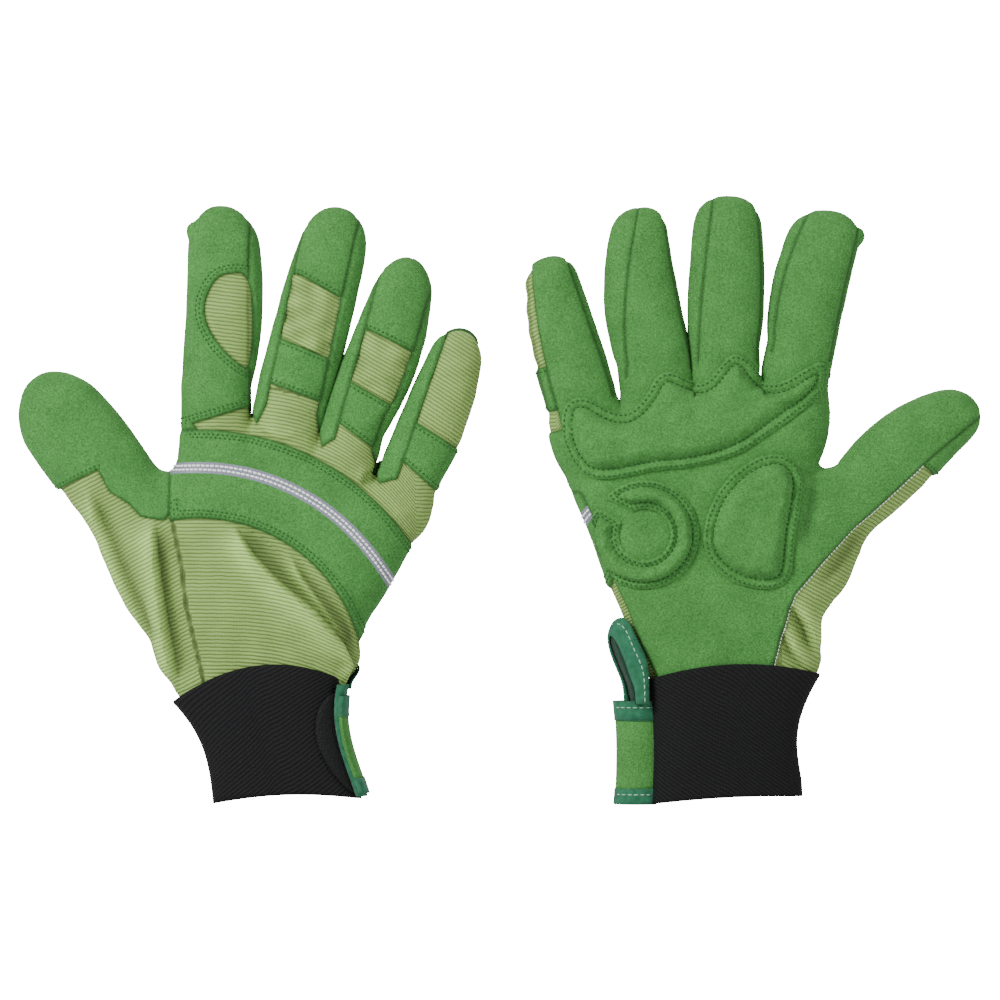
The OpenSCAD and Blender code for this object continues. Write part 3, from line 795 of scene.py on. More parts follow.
SUEDE_PANELS = ("thumb_cap", "index_patch", "middle_cap", "middle_band", "ring_cap", "ring_band",
                "little_band", "knuckle_band")


def dent(distance, depth, width):
    return depth * np.exp(-((distance / width) ** 2))


def height(glove, sheet, panel):
    """How far the fabric's face stands off the skin."""
    x = sheet.values
    u, v, w = sheet.points.T
    wave = 0.22 * ripple(u, v + 0.4 * w, 3, 26) + 0.08 * ripple(u + w, v, 4, 8)
    if panel == "knit":
        return 0.75 * smooth(x["knit"] / 9) - 0.3 - dent(x["back_seam"], 0.8, 0.7) + 1.5 * wave + x["fold"]
    rise = SUEDE_T * (0.3 + 0.7 * smooth(-x["knit"] / 1.3)) - dent(x["seam"], 0.62, 0.85) + wave
    if panel in PAD_NAMES:
        from_edge, (rim, puff, reach) = x[panel], PAD_SHAPE[panel]
        rise = rise + 0.5 + 1.0 * smooth(from_edge / 1.2)
        rise = rise + puff * PAD_GAIN[glove.palm] * smooth((from_edge - rim + 0.4) / reach) ** 0.8
        return rise - dent(from_edge - rim, 0.9, 0.8) + 0.3 * ripple(u, v, 9, 7)
    near_pad = np.clip(x["pad"] + 3, 0, 3) / 3
    return rise - 0.3 * near_pad + (x["fold"] if panel == "palm" else 0)


def zones(sheet):
    """The parts of a panel, one for each zone: [(zone, sheet)]."""
    thumb, rest = sheet.take("thumb_zone")
    end, base = thumb.take("thumb_s", END_FROM)
    found = [("thumb_base", base), ("thumb_end", end)]
    low = []
    for n in FINGERS:
        mine, rest = (rest, rest) if n == "little" else rest.take(n + "_side")
        high, under = mine.take(n + "_s", BASE_FROM)
        low.append(under)
        end, base = high.take(n + "_s", END_FROM)
        found += [(n + "_base", base), (n + "_end", end)]
    hand, neck = joined(low).take("above_wrist", HAND_FROM)
    found += [("hand", hand), ("neck", neck.take("above_wrist", NECK_FROM)[0])]
    return [(z, x) for z, x in found if len(x.faces)]


# ---- Making objects ----


def move_with(piece, glove, zone):
    """Ties a piece to the body it moves with. A piece of a zone across a joint is only baked where it
    stands: the ends of the bend are worked out but not used.
    """
    mark = glove.mark
    if zone in ("hand", "cuff", "hook_flap"):
        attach(piece, mark + zone)
        return
    if zone == "neck":
        start, end = [glove.wrist + rise * glove.up for rise in NECK_BEND]
    else:
        name, which = zone.split("_")
        d = glove.digits[name]
        near, far = BASE_BEND if which == "base" else (d.first - END_BEND, d.first + END_BEND)
        start, end = d.point(near, 0), d.point(far, 0)
    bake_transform(piece)


def show(glove, name, zone, points, faces, look, attributes=None, normals=None, stands_for=None):
    """A shown piece from points of the drawing, put with a zone of its glove by move_with."""
    mesh = bpy.data.meshes.new(glove.mark + name)
    mesh.from_pydata(stand(points).tolist(), [], faces.tolist())
    mesh.polygons.foreach_set("use_smooth", [True] * len(mesh.polygons))
    for key, array in (attributes or {}).items():
        kind, field = ("FLOAT_VECTOR", "vector") if array.ndim == 2 else ("FLOAT", "value")
        layer = mesh.attributes.new(key, kind, "POINT")
        layer.data.foreach_set(field, array.astype(np.float32).ravel())
    mesh.update()
    if normals is not None:
        n = np.stack([normals[:, 0], -normals[:, 2], normals[:, 1]], 1)
        mesh.normals_split_custom_set_from_vertices(n.tolist())
    mesh.materials.append(look.material)
    piece = bpy.data.objects.new(glove.mark + name, mesh)
    bpy.context.scene.collection.objects.link(piece)
    move_with(piece, glove, zone)
    if stands_for:
        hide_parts(glove.mark + stands_for)


def cloth(sheet, ribbed):
    """Closes a panel into a fabric with two faces and an edge all round."""
    x = sheet.values
    outer = sheet.points + x["normal"] * x["rise"][:, None]
    inner = sheet.points - x["normal"] * CLOTH_T
    n = len(outer)
    rim = sheet.border()
    sides = np.concatenate([
        np.stack([rim[:, 1], rim[:, 0], rim[:, 0] + n], 1),
        np.stack([rim[:, 1], rim[:, 0] + n, rim[:, 1] + n], 1),
    ])
    faces = np.concatenate([sheet.faces, sheet.faces[:, ::-1] + n, sides])
    normals = np.concatenate([x["shade"], -x["normal"]])
    up = x["across"] if ribbed else sheet.points[:, 1]
    spot = np.stack([sheet.points[:, 0], up, sheet.points[:, 2]], 1)
    # near (distance to the nearest seam or panel edge) and fold (fold height) go to the materials, which
    # paint shade near seams and in fold valleys and paint highlight on fold crests
    near = all_of(np.abs(x["knit"]), x["seam"], x["back_seam"])
    attributes = {k: np.concatenate([a, a]) for k, a in dict(cloth=spot, edge=near, fold=x["fold"]).items()}
    return np.concatenate([outer, inner]), faces, attributes, normals


# One stitch, a short thread with pointed ends: (along, across, up) of its corners in
# lengths, widths and widths, and its faces
STITCH = np.array(
    [(-0.5, 0, -0.4)]
    + [(t, a / 2, b / 2) for t in (-0.28, 0.28) for a, b in ((1, 0), (0, 1), (-1, 0), (0, -1))]
    + [(0.5, 0, -0.4)]
)
STITCH_FACES = np.array([
    face
    for k, m in ((0, 1), (1, 2), (2, 3), (3, 0))
    for face in ((0, 1 + m, 1 + k), (1 + k, 1 + m, 5 + m), (1 + k, 5 + m, 5 + k), (9, 5 + k, 5 + m))
])


def unit(x):
    return x / np.maximum(np.linalg.norm(x, axis=-1, keepdims=True), 1e-9)


# Kinds of stitch: from one to the next, length, width and height above the fabric
TAPE_STITCH = (2.7, 2.1, 0.42, 0.1)
EDGE_STITCH = (2.7 * 0.72, 1.15, 0.7, 0.1)
PAD_STITCH = (2.7 * 0.8, 1.35, 0.75, 0.12)
PIPING_STITCH = (2.0, 2.1, 0.95, 0.15)
SEAM_STITCH = (1.6, 1.5, 0.6, 0.0)


class Thread:
    """Collects stitches of one colour, zone by zone."""

    def __init__(self, glove, name, look):
        self.glove = glove
        self.name = name
        self.look = look
        self.rows = {}

    def sew(self, path, normals, stitch, zone=None):
        """A row of one kind of stitch along a path."""
        pitch, length, width, lift = stitch
        gone = np.concatenate([[0], np.cumsum(np.linalg.norm(np.diff(path, axis=0), axis=1))])
        if gone[-1] < pitch * 2:
            return
        at = (np.arange(int(gone[-1] / pitch)) + 0.5) * pitch

        def along_path(where, what):
            return np.stack([np.interp(where, gone, what[:, c]) for c in range(3)], 1)

        n = unit(along_path(at, normals))
        here = along_path(at, path) + n * lift
        along = unit(along_path(at + 0.6, path) - along_path(at - 0.6, path))
        side = unit(np.cross(n, along))
        frames = np.stack([along * length, side * width, np.cross(along, side) * width], 1)
        corners = here[:, None] + np.einsum("kc,ncd->nkd", STITCH, frames)
        names = np.array([zone] * len(at) if zone else zones_at(self.glove, here))
        for name in sorted(set(names.tolist()) - {""}):
            self.rows.setdefault(name, []).append(corners[names == name])

    def sew_line(self, sheet, name, level, stitch):
        """A row along each line where a value of a sheet has one level."""
        for path, normals in sheet.lines(sheet.values[name], level):
            self.sew(path, normals, stitch)

    def finish(self):
        for zone, parts in sorted(self.rows.items()):
            corners = np.concatenate(parts)
            first = np.arange(len(corners)) * len(STITCH)
            faces = (STITCH_FACES[None] + first[:, None, None]).reshape(-1, 3)
            show(self.glove, f"{self.name}_{zone}", zone, corners.reshape(-1, 3), faces, self.look)


def zones_at(glove, points):
    """The zone of each point, empty below the neck."""
    u, v = points[:, 0], points[:, 1]
    fingers = [glove.digits[n] for n in FINGERS]
    nearest = np.array([np.abs(d.share(*d.place(u, v))) for d in fingers]).argmin(0)
    above = (points[:, :2] - glove.wrist) @ glove.up
    found = np.where(above > HAND_FROM, "hand", np.where(above > STITCH_FROM, "neck", "")).astype("<U12")
    for k, n in enumerate(DIGITS):
        s, r = glove.digits[n].place(u, v)
        mine = (nearest == k) if n != "thumb" else (np.abs(r) < WIDE * glove.digits[n].half)
        found[mine & (s > BASE_FROM)] = n + "_base"
        found[mine & (s > END_FROM)] = n + "_end"
    return found


# ---- Materials ----

def linear(r, g, b):
    """A colour of 0 to 255 as Blender's linear colour."""
    c = np.array([r, g, b]) / 255
    c = np.where(c <= 0.04045, c / 12.92, ((c + 0.055) / 1.055) ** 2.4)
    return (*c.tolist(), 1.0)


def plug(tree, socket, value):
    """Links a node's output to a socket, or sets the socket to a plain value."""
    if isinstance(value, bpy.types.NodeSocket):
        tree.links.new(value, socket)
    else:
        socket.default_value = value


class Look:
    """A node material, with short ways to add the nodes that fabrics need."""

    def __init__(self, name, slot, rough, sheen=0.0, tint=None):
        self.material = bpy.data.materials.new(name)
        self.material.use_nodes = True
        self.slot = slot
        self.tree = self.material.node_tree
        self.surface = self.tree.nodes["Principled BSDF"].inputs
        self.surface["Roughness"].default_value = rough
        self.surface["Specular IOR Level"].default_value = 0.25
        self.surface["Sheen Weight"].default_value = sheen
        if tint:
            self.surface["Sheen Tint"].default_value = linear(*tint)

    def add(self, kind, **inputs):
        node = self.tree.nodes.new(kind)
        for key, value in inputs.items():
            plug(self.tree, node.inputs[key], value)
        return node.outputs[0]

    def math(self, how, a, b=0.0):
        node = self.tree.nodes.new("ShaderNodeMath")
        node.operation = how
        plug(self.tree, node.inputs[0], a)
        plug(self.tree, node.inputs[1], b)
        return node.outputs[0]

    def plus(self, a, b):
        return self.math("ADD", a, b)

    def times(self, a, b):
        return self.math("MULTIPLY", a, b)

    def wave(self, value, pitch):
        """Round crests, one for each pitch of a value."""
        return self.math("ABSOLUTE", self.math("SINE", self.times(value, math.pi / pitch)))

    def attribute(self, name, output):
        node = self.tree.nodes.new("ShaderNodeAttribute")
        node.attribute_name = name
        return node.outputs[output]

    def place(self):
        """The place on the cloth, in mm, and its parts across and up."""
        where = self.attribute("cloth", "Vector")
        node = self.tree.nodes.new("ShaderNodeSeparateXYZ")
        plug(self.tree, node.inputs[0], where)
        return where, node.outputs[0], node.outputs[1]

    def noise(self, where, scale, detail=2.0):
        return self.add("ShaderNodeTexNoise", Vector=where, Scale=scale, Detail=detail)

    def ramp(self, value, *stops):
        node = self.tree.nodes.new("ShaderNodeValToRGB")
        plug(self.tree, node.inputs["Fac"], value)
        elements = node.color_ramp.elements
        while len(elements) < len(stops):
            elements.new(0.5)
        for element, (at, colour) in zip(elements, stops):
            element.position = at
            element.color = linear(*colour)
        return node.outputs[0]

    def shade(self, colour, value, low, high, dark, light):
        """A colour made dark where a value is low and light where it is high."""
        spread = self.tree.nodes.new("ShaderNodeMapRange")
        for socket, given in zip(spread.inputs, (value, low, high, dark, light)):
            plug(self.tree, socket, given)
        grey = spread.outputs[0]
        grey = self.add("ShaderNodeCombineColor", Red=grey, Green=grey, Blue=grey)
        mix = self.tree.nodes.new("ShaderNodeMix")
        mix.data_type = "RGBA"
        mix.blend_type = "MULTIPLY"
        for socket, given in ((0, 1.0), (6, colour), (7, grey)):
            plug(self.tree, mix.inputs[socket], given)
        return mix.outputs[2]

    def finish(self, colour, relief=None, depth=0.0, strength=1.0):
        """Sets the colour, and a relief of depth mm."""
        plug(self.tree, self.surface["Base Color"], colour)
        if relief:
            bump = self.add("ShaderNodeBump", Strength=strength, Distance=depth / 1000, Height=relief)
            plug(self.tree, self.surface["Normal"], bump)
        return self


def suede():
    """Napped suede: a fine speckle, wider brushed patches, painted shade in the seams and along panel
    edges, and painted shade in the valleys of folds with painted highlight on their crests.
    """
    look = Look("green_suede", "suede", 0.95, 0.25, (119, 176, 102))
    where = look.attribute("cloth", "Vector")
    grain = look.noise(where, 1.5, 3.0)
    colour = look.ramp(grain, (0.3, (49, 101, 42)), (0.5, (65, 124, 57)), (0.72, (83, 144, 74)))
    colour = look.shade(colour, look.noise(where, 0.09, 3.0), 0.3, 0.7, 0.88, 1.1)
    # painted shade: darker near seams and panel edges, where the seam grooves are
    colour = look.shade(colour, look.attribute("edge", "Fac"), 0.0, 1.2, 0.46, 1.0)
    # painted shade in fold valleys and painted highlight on fold crests, from the fold height
    colour = look.shade(colour, look.attribute("fold", "Fac"), -2.0, 2.0, 0.62, 1.38)
    nap = look.times(look.noise(where, 3.4, 1.0), 0.6)
    return look.finish(colour, look.plus(grain, nap), 0.3, 0.8)


def rib_knit():
    """Ribbed stretch knit: rounded ribs, with painted shade in the grooves between them and painted
    highlight on their crests, and painted shade along seams and in folds.
    """
    look = Look("rib_knit", "rib_knit", 0.8, 0.15, (190, 220, 141))
    where, across, up = look.place()
    bend = look.times(look.noise(where, 0.25), 0.7)
    rib = look.math("POWER", look.wave(look.plus(up, bend), RIB), 0.6)
    wale = look.math("SINE", look.times(across, 2 * math.pi / 0.62))
    # painted shade in the grooves between ribs and painted highlight on their crests
    colour = look.ramp(rib, (0.12, (86, 116, 50)), (0.5, (125, 158, 79)), (1.0, (146, 179, 98)))
    colour = look.shade(colour, look.noise(where, 0.08), 0.3, 0.7, 0.9, 1.08)
    colour = look.shade(colour, look.noise(where, 2.2, 1.0), 0.3, 0.7, 0.93, 1.06)
    # painted shade: darker near seams and panel edges, where the seam grooves are
    colour = look.shade(colour, look.attribute("edge", "Fac"), 0.0, 1.2, 0.5, 1.0)
    # painted shade in fold valleys and painted highlight on fold crests, from the fold height
    colour = look.shade(colour, look.attribute("fold", "Fac"), -2.6, 2.6, 0.42, 1.4)
    return look.finish(colour, look.plus(rib, look.times(wale, 0.07)), 0.5, 0.9)


def elastic():
    """Black elastic with a slanted twill."""
    look = Look("black_elastic", "elastic", 0.8)
    where, across, up = look.place()
    slant = look.math("SUBTRACT", look.times(up, 0.84), look.times(across, 0.54))
    slant = look.plus(slant, look.times(look.noise(where, 0.8), 0.5))
    twill = look.wave(slant, 1.45)
    colour = look.ramp(twill, (0.15, (2, 2, 3)), (0.8, (10, 10, 12)), (1.0, (17, 17, 20)))
    colour = look.shade(colour, look.noise(where, 2.5), 0.3, 0.7, 0.8, 1.2)
    relief = look.plus(twill, look.times(look.wave(across, 0.9), 0.3))
    return look.finish(colour, relief, 0.35, 0.9)


def hook_fabric():
    """Black hook patch: a field of tiny stiff hooks."""
    look = Look("hook_fabric", "hook_fabric", 0.7)
    where = look.attribute("cloth", "Vector")
    cells = look.add("ShaderNodeTexVoronoi", Vector=where, Scale=1.1)
    colour = look.ramp(cells, (0.1, (14, 15, 16)), (0.5, (5, 6, 7)), (0.9, (2, 2, 3)))
    return look.finish(colour, look.math("SUBTRACT", 1.0, cells), 0.5, 0.8)


def tape(name, light, dark):
    """Woven binding tape."""
    look = Look(name, "binding_tape", 0.85, 0.1)
    where, across, up = look.place()
    weave = [look.math("SINE", look.times(x, 9.0)) for x in (across, up)]
    colour = look.ramp(look.noise(where, 0.35), (0.3, dark), (0.7, light))
    return look.finish(colour, look.times(*weave), 0.12, 0.7)


def reflective():
    """Silver-grey reflective piping."""
    look = Look("reflective_piping", "reflective_piping", 0.5)
    speckle = look.noise(look.attribute("cloth", "Vector"), 2.5)
    colour = look.ramp(speckle, (0.3, (104, 106, 122)), (0.7, (134, 138, 150)))
    return look.finish(colour, speckle, 0.12, 0.5)


def thread(name, *colour):
    return Look(name, "thread", 0.7).finish(linear(*colour))


SUEDE = suede()
KNIT = rib_knit()
ELASTIC = elastic()
HOOK = hook_fabric()
TAPE = tape("dark_green_tape", (42, 112, 80), (26, 90, 62))
# a darker copy of the tape: painted shade for the inside of the slit
SHADED_LINING = tape("lining_painted_shade", (20, 62, 44), (13, 46, 32))
PIPING = reflective()
TONAL = thread("tonal_thread", 44, 94, 44)
PALE = thread("pale_thread", 250, 252, 250)
CREAM = thread("tape_thread", 176, 206, 180)


# ---- The hand ----

# Which CAD pieces the part of a panel in one zone takes the place of
STANDS_FOR = {
    ("palm", "hand"): "palm_panel",
    ("palm", "little_end"): "little_tip",
    ("knit", "hand"): "back_panel",
    ("knit", "thumb_base"): "thumb_back",
    ("knit", "little_end"): "little_back",
    ("index_patch", "index_base"): "index_patch",
    ("index_patch", "index_end"): "index_cap",
    ("little_band", "little_base"): "little_band",
    ("thumb_cap", "thumb_end"): "thumb_cap",
    ("knuckle_band", "hand"): "knuckle_band",
    ("piping", "hand"): "reflective_piping",
    **{("palm", n + "_base"): n + "_front" for n in DIGITS},
    **{("knit", n + "_end"): n + "_window" for n in ("index", "middle", "ring")},
    **{(n + "_cap", n + "_end"): n + "_cap" for n in ("middle", "ring")},
    **{(n + "_band", n + "_base"): n + "_band" for n in ("middle", "ring")},
    **{(n, "hand"): n for n in PAD_NAMES},
}
# Levels at which the fabric gets points, so that its seams and edges come out sharp
EXTRA_POINTS = dict(knit=(-1.3, -0.5), seam=(0.8,), back_seam=(0.7,), pad=(1.2, 2.9, 4.2, 5.4))
TWO_ROWS = ("knuckle_band", "index_patch")  # panels with two rows of stitches


def fabric_of(glove):
    """The skin with its fields, and with points along every seam and edge."""
    sheet = skin(glove)

    def measured():
        return {**fields(glove, sheet.points), "normal": sheet.values["normal"]}

    sheet.values = measured()
    for name in SUEDE_PANELS + tuple(n + "_front" for n in FINGERS) + ("pad",):
        sheet = sheet.split(name)
    sheet.values = measured()
    for name, levels in EXTRA_POINTS.items():
        for level in levels:
            sheet = sheet.split(name, level)
    size = np.linalg.norm(sheet.values["normal"], axis=1, keepdims=True)
    sheet.values["normal"] = sheet.values["normal"] / size
    return sheet


def panels_of(sheet):
    """Cuts the fabric into its panels: {name: sheet}."""
    found = {}
    found["knit"], rest = sheet.take("knit")
    for name in SUEDE_PANELS:
        found[name], rest = rest.take(name)
    found["piping"], found["knuckle_band"] = found["knuckle_band"].take("piping")
    for name in PAD_NAMES:
        found[name], rest = rest.take(name)
    found["palm"] = rest
    return found


def sew_panel(name, sheet, tonal, pale):
    """The rows of stitches that show on one panel."""
    if name in SUEDE_PANELS:
        for level in (-1.9, -3.3) if name in TWO_ROWS else (-1.9,):
            tonal.sew_line(sheet, "knit", level, EDGE_STITCH)
    if name in PAD_NAMES:
        for level in (1.3, PAD_SHAPE[name][0] - 0.3):
            tonal.sew_line(sheet, name, level, PAD_STITCH)
    if name == "piping":
        for level in (-0.85, 0.85):
            pale.sew_line(sheet, "from_piping", level, PIPING_STITCH)
    if name == "knit":
        on_palm = sheet.take("back", 1)[1]
        pale.sew_line(on_palm, "thumb_line", 0.55, SEAM_STITCH)


def build_hand(glove, tonal, pale):
    """The panels of the hand, fingers and thumb, each in the parts of its zones."""
    for name, panel in panels_of(fabric_of(glove)).items():
        rise = height(glove, panel, name)
        panel.values["rise"] = rise
        face = Sheet(panel.points + panel.values["normal"] * rise[:, None], panel.faces, panel.values)
        panel.values["shade"] = face.normals()
        sew_panel(name, face, tonal, pale)
        look = dict(knit=KNIT, piping=PIPING).get(name, SUEDE)
        for zone, part in zones(panel):
            points, faces, attributes, normals = cloth(part, name == "knit")
            node = STANDS_FOR.get((name, zone))
            show(glove, f"{name}_{zone}", zone, points, faces, look, attributes, normals, node)


# ---- The cuff and its closure ----

# Each edge of a cuff from its foot to its top, how far its two ends bow up in the middle, how
# far the tab stands out and how high up the cuff it starts
LEFT.cuff = dict(
    thumb_edge=[(-119.6, -124.6), (-122, -108), (-127, -95), (-136, -83)],
    heel_edge=[(-57.5, -122.5), (-62.5, -108), (-66.5, -92), (-65.5, -74)],
    foot_bow=3.0, top_bow=10.5, tab_out=0.22, tab_foot=0.06,
)
RIGHT.cuff = dict(
    thumb_edge=[(126, -121.5), (124.6, -108), (124.4, -93), (133, -72)],
    heel_edge=[(62.2, -124.8), (63, -108), (62.6, -90), (60.6, -74)],
    foot_bow=1.5, top_bow=5.5, tab_out=1.0, tab_foot=-0.015,
)
CUFF_HALF = 13.2  # half thickness of the cuff
CUFF_T = 1.8  # thickness of its elastic
SQUARE = 0.72  # how boxy the cuff's section is: 1 is an ellipse
SMOOTH_EDGE = 5.0  # distance to a seam where there is none
# The D-shaped hook patch: from where to where up the cuff, and how wide it gets
HOOK_FROM, HOOK_TO, HOOK_WIDE = 0.04, 0.9, 11.0
# The tab's pieces: from where to where up the cuff, rows of points, half thickness, what it
# is made of and the CAD piece that it takes the place of
TAB_PARTS = (
    ("tab_lower_binding", 0, 0.15, 4, 1.15, TAPE, None),
    ("closure_tab_suede", 0.13, 0.7, 12, 0.75, SUEDE, "closure_tab"),
    ("tab_upper_binding", 0.68, 0.84, 4, 1.15, TAPE, None),
)
# The tab seen from above: from the palm's side, out round the cuff's edge by a share out,
# and in under the hook patch
TAB_PATH = ((-2.5, 0, 3.5), (0, 2, 5.6), (0, 7, 6.2), (0, 12.4, 3.6), (0, 14.6, -1.2),
            (0, 12, -6.5), (1, 5, -10.2), (0.5, 0, -12.0))
# The slit on the right glove: the outside of its binding, the opening, and how far they
# stand toward the palm
SLIT_OUTER = [(51.6, -84), (51.2, -74.6), (46.2, -64.2), (43.9, -55), (46.8, -48), (51.4, -46.5),
              (54.3, -49.7), (56.2, -55), (59.5, -60.7), (61.8, -67), (62, -83)]
SLIT_HOLE = [(54.6, -84), (52.3, -74), (48.5, -65.3), (45.6, -58), (45.3, -54.6), (47, -55),
             (49.7, -59.6), (52, -65.9), (53.9, -71.7), (56, -76.3), (56.4, -83)]
SLIT_DEPTH = [0, 0.5, 1, 2, 4, 6.5, 8.5, 10, 10.2, 9.8, 9.8]


def on_curve(points, t):
    """A smooth curve through four points that are evenly spaced in t."""
    p = np.array(points, float)
    k = np.linspace(0, 1, len(p))
    t = np.asarray(t, float)
    return np.stack([np.polyval(np.polyfit(k, p[:, c], 3), t) for c in (0, 1)], -1)


def powered(x, p):
    return np.sign(x) * np.abs(x) ** p


def cuff_surface(glove, t, turn, inset=0.0):
    """Points of the cuff: t from foot to top, turn round it (0 at the thumb's side)."""
    c = glove.cuff
    thumb, heel = on_curve(c["thumb_edge"], t), on_curve(c["heel_edge"], t)
    width = np.linalg.norm(thumb - heel, axis=-1)
    share = (1 + powered(np.cos(turn), SQUARE)) / 2
    share = share + (0.5 - share) * 2 * inset / width
    flat = heel + (thumb - heel) * share[..., None]
    bow = c["foot_bow"] + (c["top_bow"] - c["foot_bow"]) * t**2
    rise = bow * 4 * share * (1 - share)
    half = CUFF_HALF - 0.7 * np.sin(np.pi * np.clip(t, 0, 1)) - inset
    depth = half * powered(np.sin(turn), SQUARE)
    wave = 0.25 * ripple(flat[..., 0], flat[..., 1], 12, 22)
    return np.stack([flat[..., 0], flat[..., 1] + rise, depth * (1 + wave / CUFF_HALF)], -1)


def grid_faces(rows, cols, closed):
    """The faces of a grid of points, whose last row and column may join the first."""
    i, j = np.meshgrid(np.arange(rows - 1 + closed), np.arange(cols - 1 + closed), indexing="ij")
    i2, j2 = (i + 1) % rows, (j + 1) % cols
    quads = np.stack([i * cols + j, i * cols + j2, i2 * cols + j2, i2 * cols + j], -1)
    return quads.reshape(-1, 4)


def slab(glove, name, zone, front, rear, look, stands_for=None):
    """A closed piece between two grids of points of the same shape, rows by columns."""
    rows, cols = front.shape[:2]
    n = rows * cols
    ids = np.arange(n).reshape(rows, cols)
    ring = np.concatenate([ids[0, :-1], ids[:-1, -1], ids[-1, :0:-1], ids[:0:-1, 0]])
    after = np.roll(ring, -1)
    sides = np.stack([ring, ring + n, after + n, after], 1)
    points = np.concatenate([front.reshape(-1, 3), rear.reshape(-1, 3)])
    faces = grid_faces(rows, cols, False)
    faces = np.concatenate([faces, faces[:, ::-1] + n, sides])
    p = points[faces]
    facing = np.cross(p[:, 1] - p[:, 0], p[:, 2] - p[:, 0])
    out = np.einsum("ij,ij->i", facing, p.mean(1) - points.mean(0))
    if out[: len(out) // 3].sum() < 0:
        faces = faces[:, ::-1]
    show(glove, name, zone, points, faces, look, plain(points), stands_for=stands_for)


def plain(spot):
    """Values of a piece that has no seam: its places on the cloth."""
    return dict(cloth=spot, edge=np.full(len(spot), SMOOTH_EDGE))


def crowned(points, amount, rows_only=False):
    """How high a grid stands at each point: full in the middle, low along its rim."""
    rows, cols = points.shape[:2]
    across = np.sin(np.pi * np.linspace(0, 1, cols)) ** 0.35
    down = np.ones(rows) if rows_only else np.sin(np.pi * np.linspace(0, 1, rows)) ** 0.25
    return (amount * down[:, None] * across[None, :])[..., None]


def eased(path, count, passes):
    """A path of points with more of them, and its corners eased."""
    at = np.linspace(0, len(path) - 1, count)
    path = np.stack([np.interp(at, np.arange(len(path)), x) for x in np.array(path, float).T], 1)
    for _ in range(passes):
        path[1:-1] = 0.25 * path[:-2] + 0.5 * path[1:-1] + 0.25 * path[2:]
    return path


def elastic_band(glove):
    """The elastic: up its outside, over a rounded top edge and down its inside."""
    up = np.linspace(0, 1, 26)
    over = [(1 + 0.018 * math.sin(a), CUFF_T * (1 - math.cos(a)) / 2) for a in np.linspace(0.5, 2.6, 4)]
    profile = [(t, 0.0) for t in up] + over + [(t, CUFF_T) for t in up[::-1]]
    turn = np.linspace(0, 2 * math.pi, 96, endpoint=False)
    rings = np.array([cuff_surface(glove, np.full(96, t), turn, inset) for t, inset in profile])
    faces = grid_faces(len(profile), 96, True)
    if glove.thumb > 0:
        faces = faces[:, ::-1]
    points = rings.reshape(-1, 3)
    side = np.cumsum(np.linalg.norm(np.diff(rings[0], axis=0, append=rings[0][:1]), axis=1))
    spot = np.stack([np.tile(side, len(profile)), points[:, 1], points[:, 2]], 1)
    show(glove, "elastic_cuff_band", "cuff", points, faces, ELASTIC, plain(spot), None, "elastic_cuff")


def hook_patch(glove):
    """The hook patch, on the back of the cuff along its outer edge."""
    t = np.linspace(HOOK_FROM, HOOK_TO, 22)
    width = HOOK_WIDE * np.sin(np.pi * np.clip((t - 0.02) / HOOK_TO, 0, 1)) ** 0.55
    tt, qq = np.meshgrid(t, np.linspace(0, 1, 10), indexing="ij")
    thumb, heel = [on_curve(glove.cuff[side], tt) for side in ("thumb_edge", "heel_edge")]
    share = 0.012 + qq * width[:, None] / np.linalg.norm(thumb - heel, axis=-1)
    angle = np.arccos(np.clip(powered(2 * share - 1, 1 / SQUARE), -1, 1)) * -glove.palm
    lift = crowned(thumb, 0.8)[..., 0] + 1.2
    front, rear = cuff_surface(glove, tt, angle, -lift), cuff_surface(glove, tt, angle, -0.35)
    slab(glove, "hook_patch_face", "hook_flap", front, rear, HOOK, "hook_patch")


def beside_cuff(glove, t, out, toward_palm):
    """A line seen from above, beside the cuff's outer edge, at each height t of that edge."""
    heel = on_curve(glove.cuff["heel_edge"], t)
    grid = np.zeros((len(t), len(out), 3))
    grid[..., 0] = heel[:, None, 0] - glove.thumb * out
    grid[..., 1] = heel[:, None, 1]
    grid[..., 2] = toward_palm * glove.palm
    return grid


def edge_binding(glove):
    """The tape that binds the open edge of the cuff, between the hook patch and the tab."""
    q = np.linspace(0, 1, 6)
    bound = beside_cuff(glove, np.linspace(0.03, 0.985, 16), 4.6 * q - 1.6, 5.5 * q**2 - 10.2)
    away = np.array([-0.45 * glove.thumb, 0, -0.9 * glove.palm])
    front, rear = bound + away * crowned(bound, 1.2, True), bound - away * 0.8
    slab(glove, "cuff_edge_binding", "cuff", front, rear, TAPE)


def closure_tab(glove, cream):
    """The suede tab round the outer edge, with both its ends bound in tape."""
    reach = glove.cuff["tab_out"]
    path = eased([(a + b * reach, w) for a, b, w in TAB_PATH], 24, 3)
    tangent = np.gradient(path, axis=0)
    tangent /= np.linalg.norm(tangent, axis=1, keepdims=True)
    outward = np.stack([-tangent[:, 1], tangent[:, 0]], 1)
    outward *= np.sign((outward[:, 0] * path[:, 0]).sum())
    foot = glove.cuff["tab_foot"]
    for name, low, high, rows, thick, look, node in TAB_PARTS:
        t = np.linspace(foot + low, foot + high, rows)
        front, rear, face, above = [
            beside_cuff(glove, t, *(path + outward * x).T)
            for x in (thick, -thick, thick + 0.02, thick + 1.0)
        ]
        slab(glove, name, "cuff", front, rear, look, node)
        if look is TAPE:
            row = face[rows // 2, : len(path) // 2]
            cream.sew(row, above[rows // 2, : len(path) // 2] - row, TAPE_STITCH, zone="cuff")


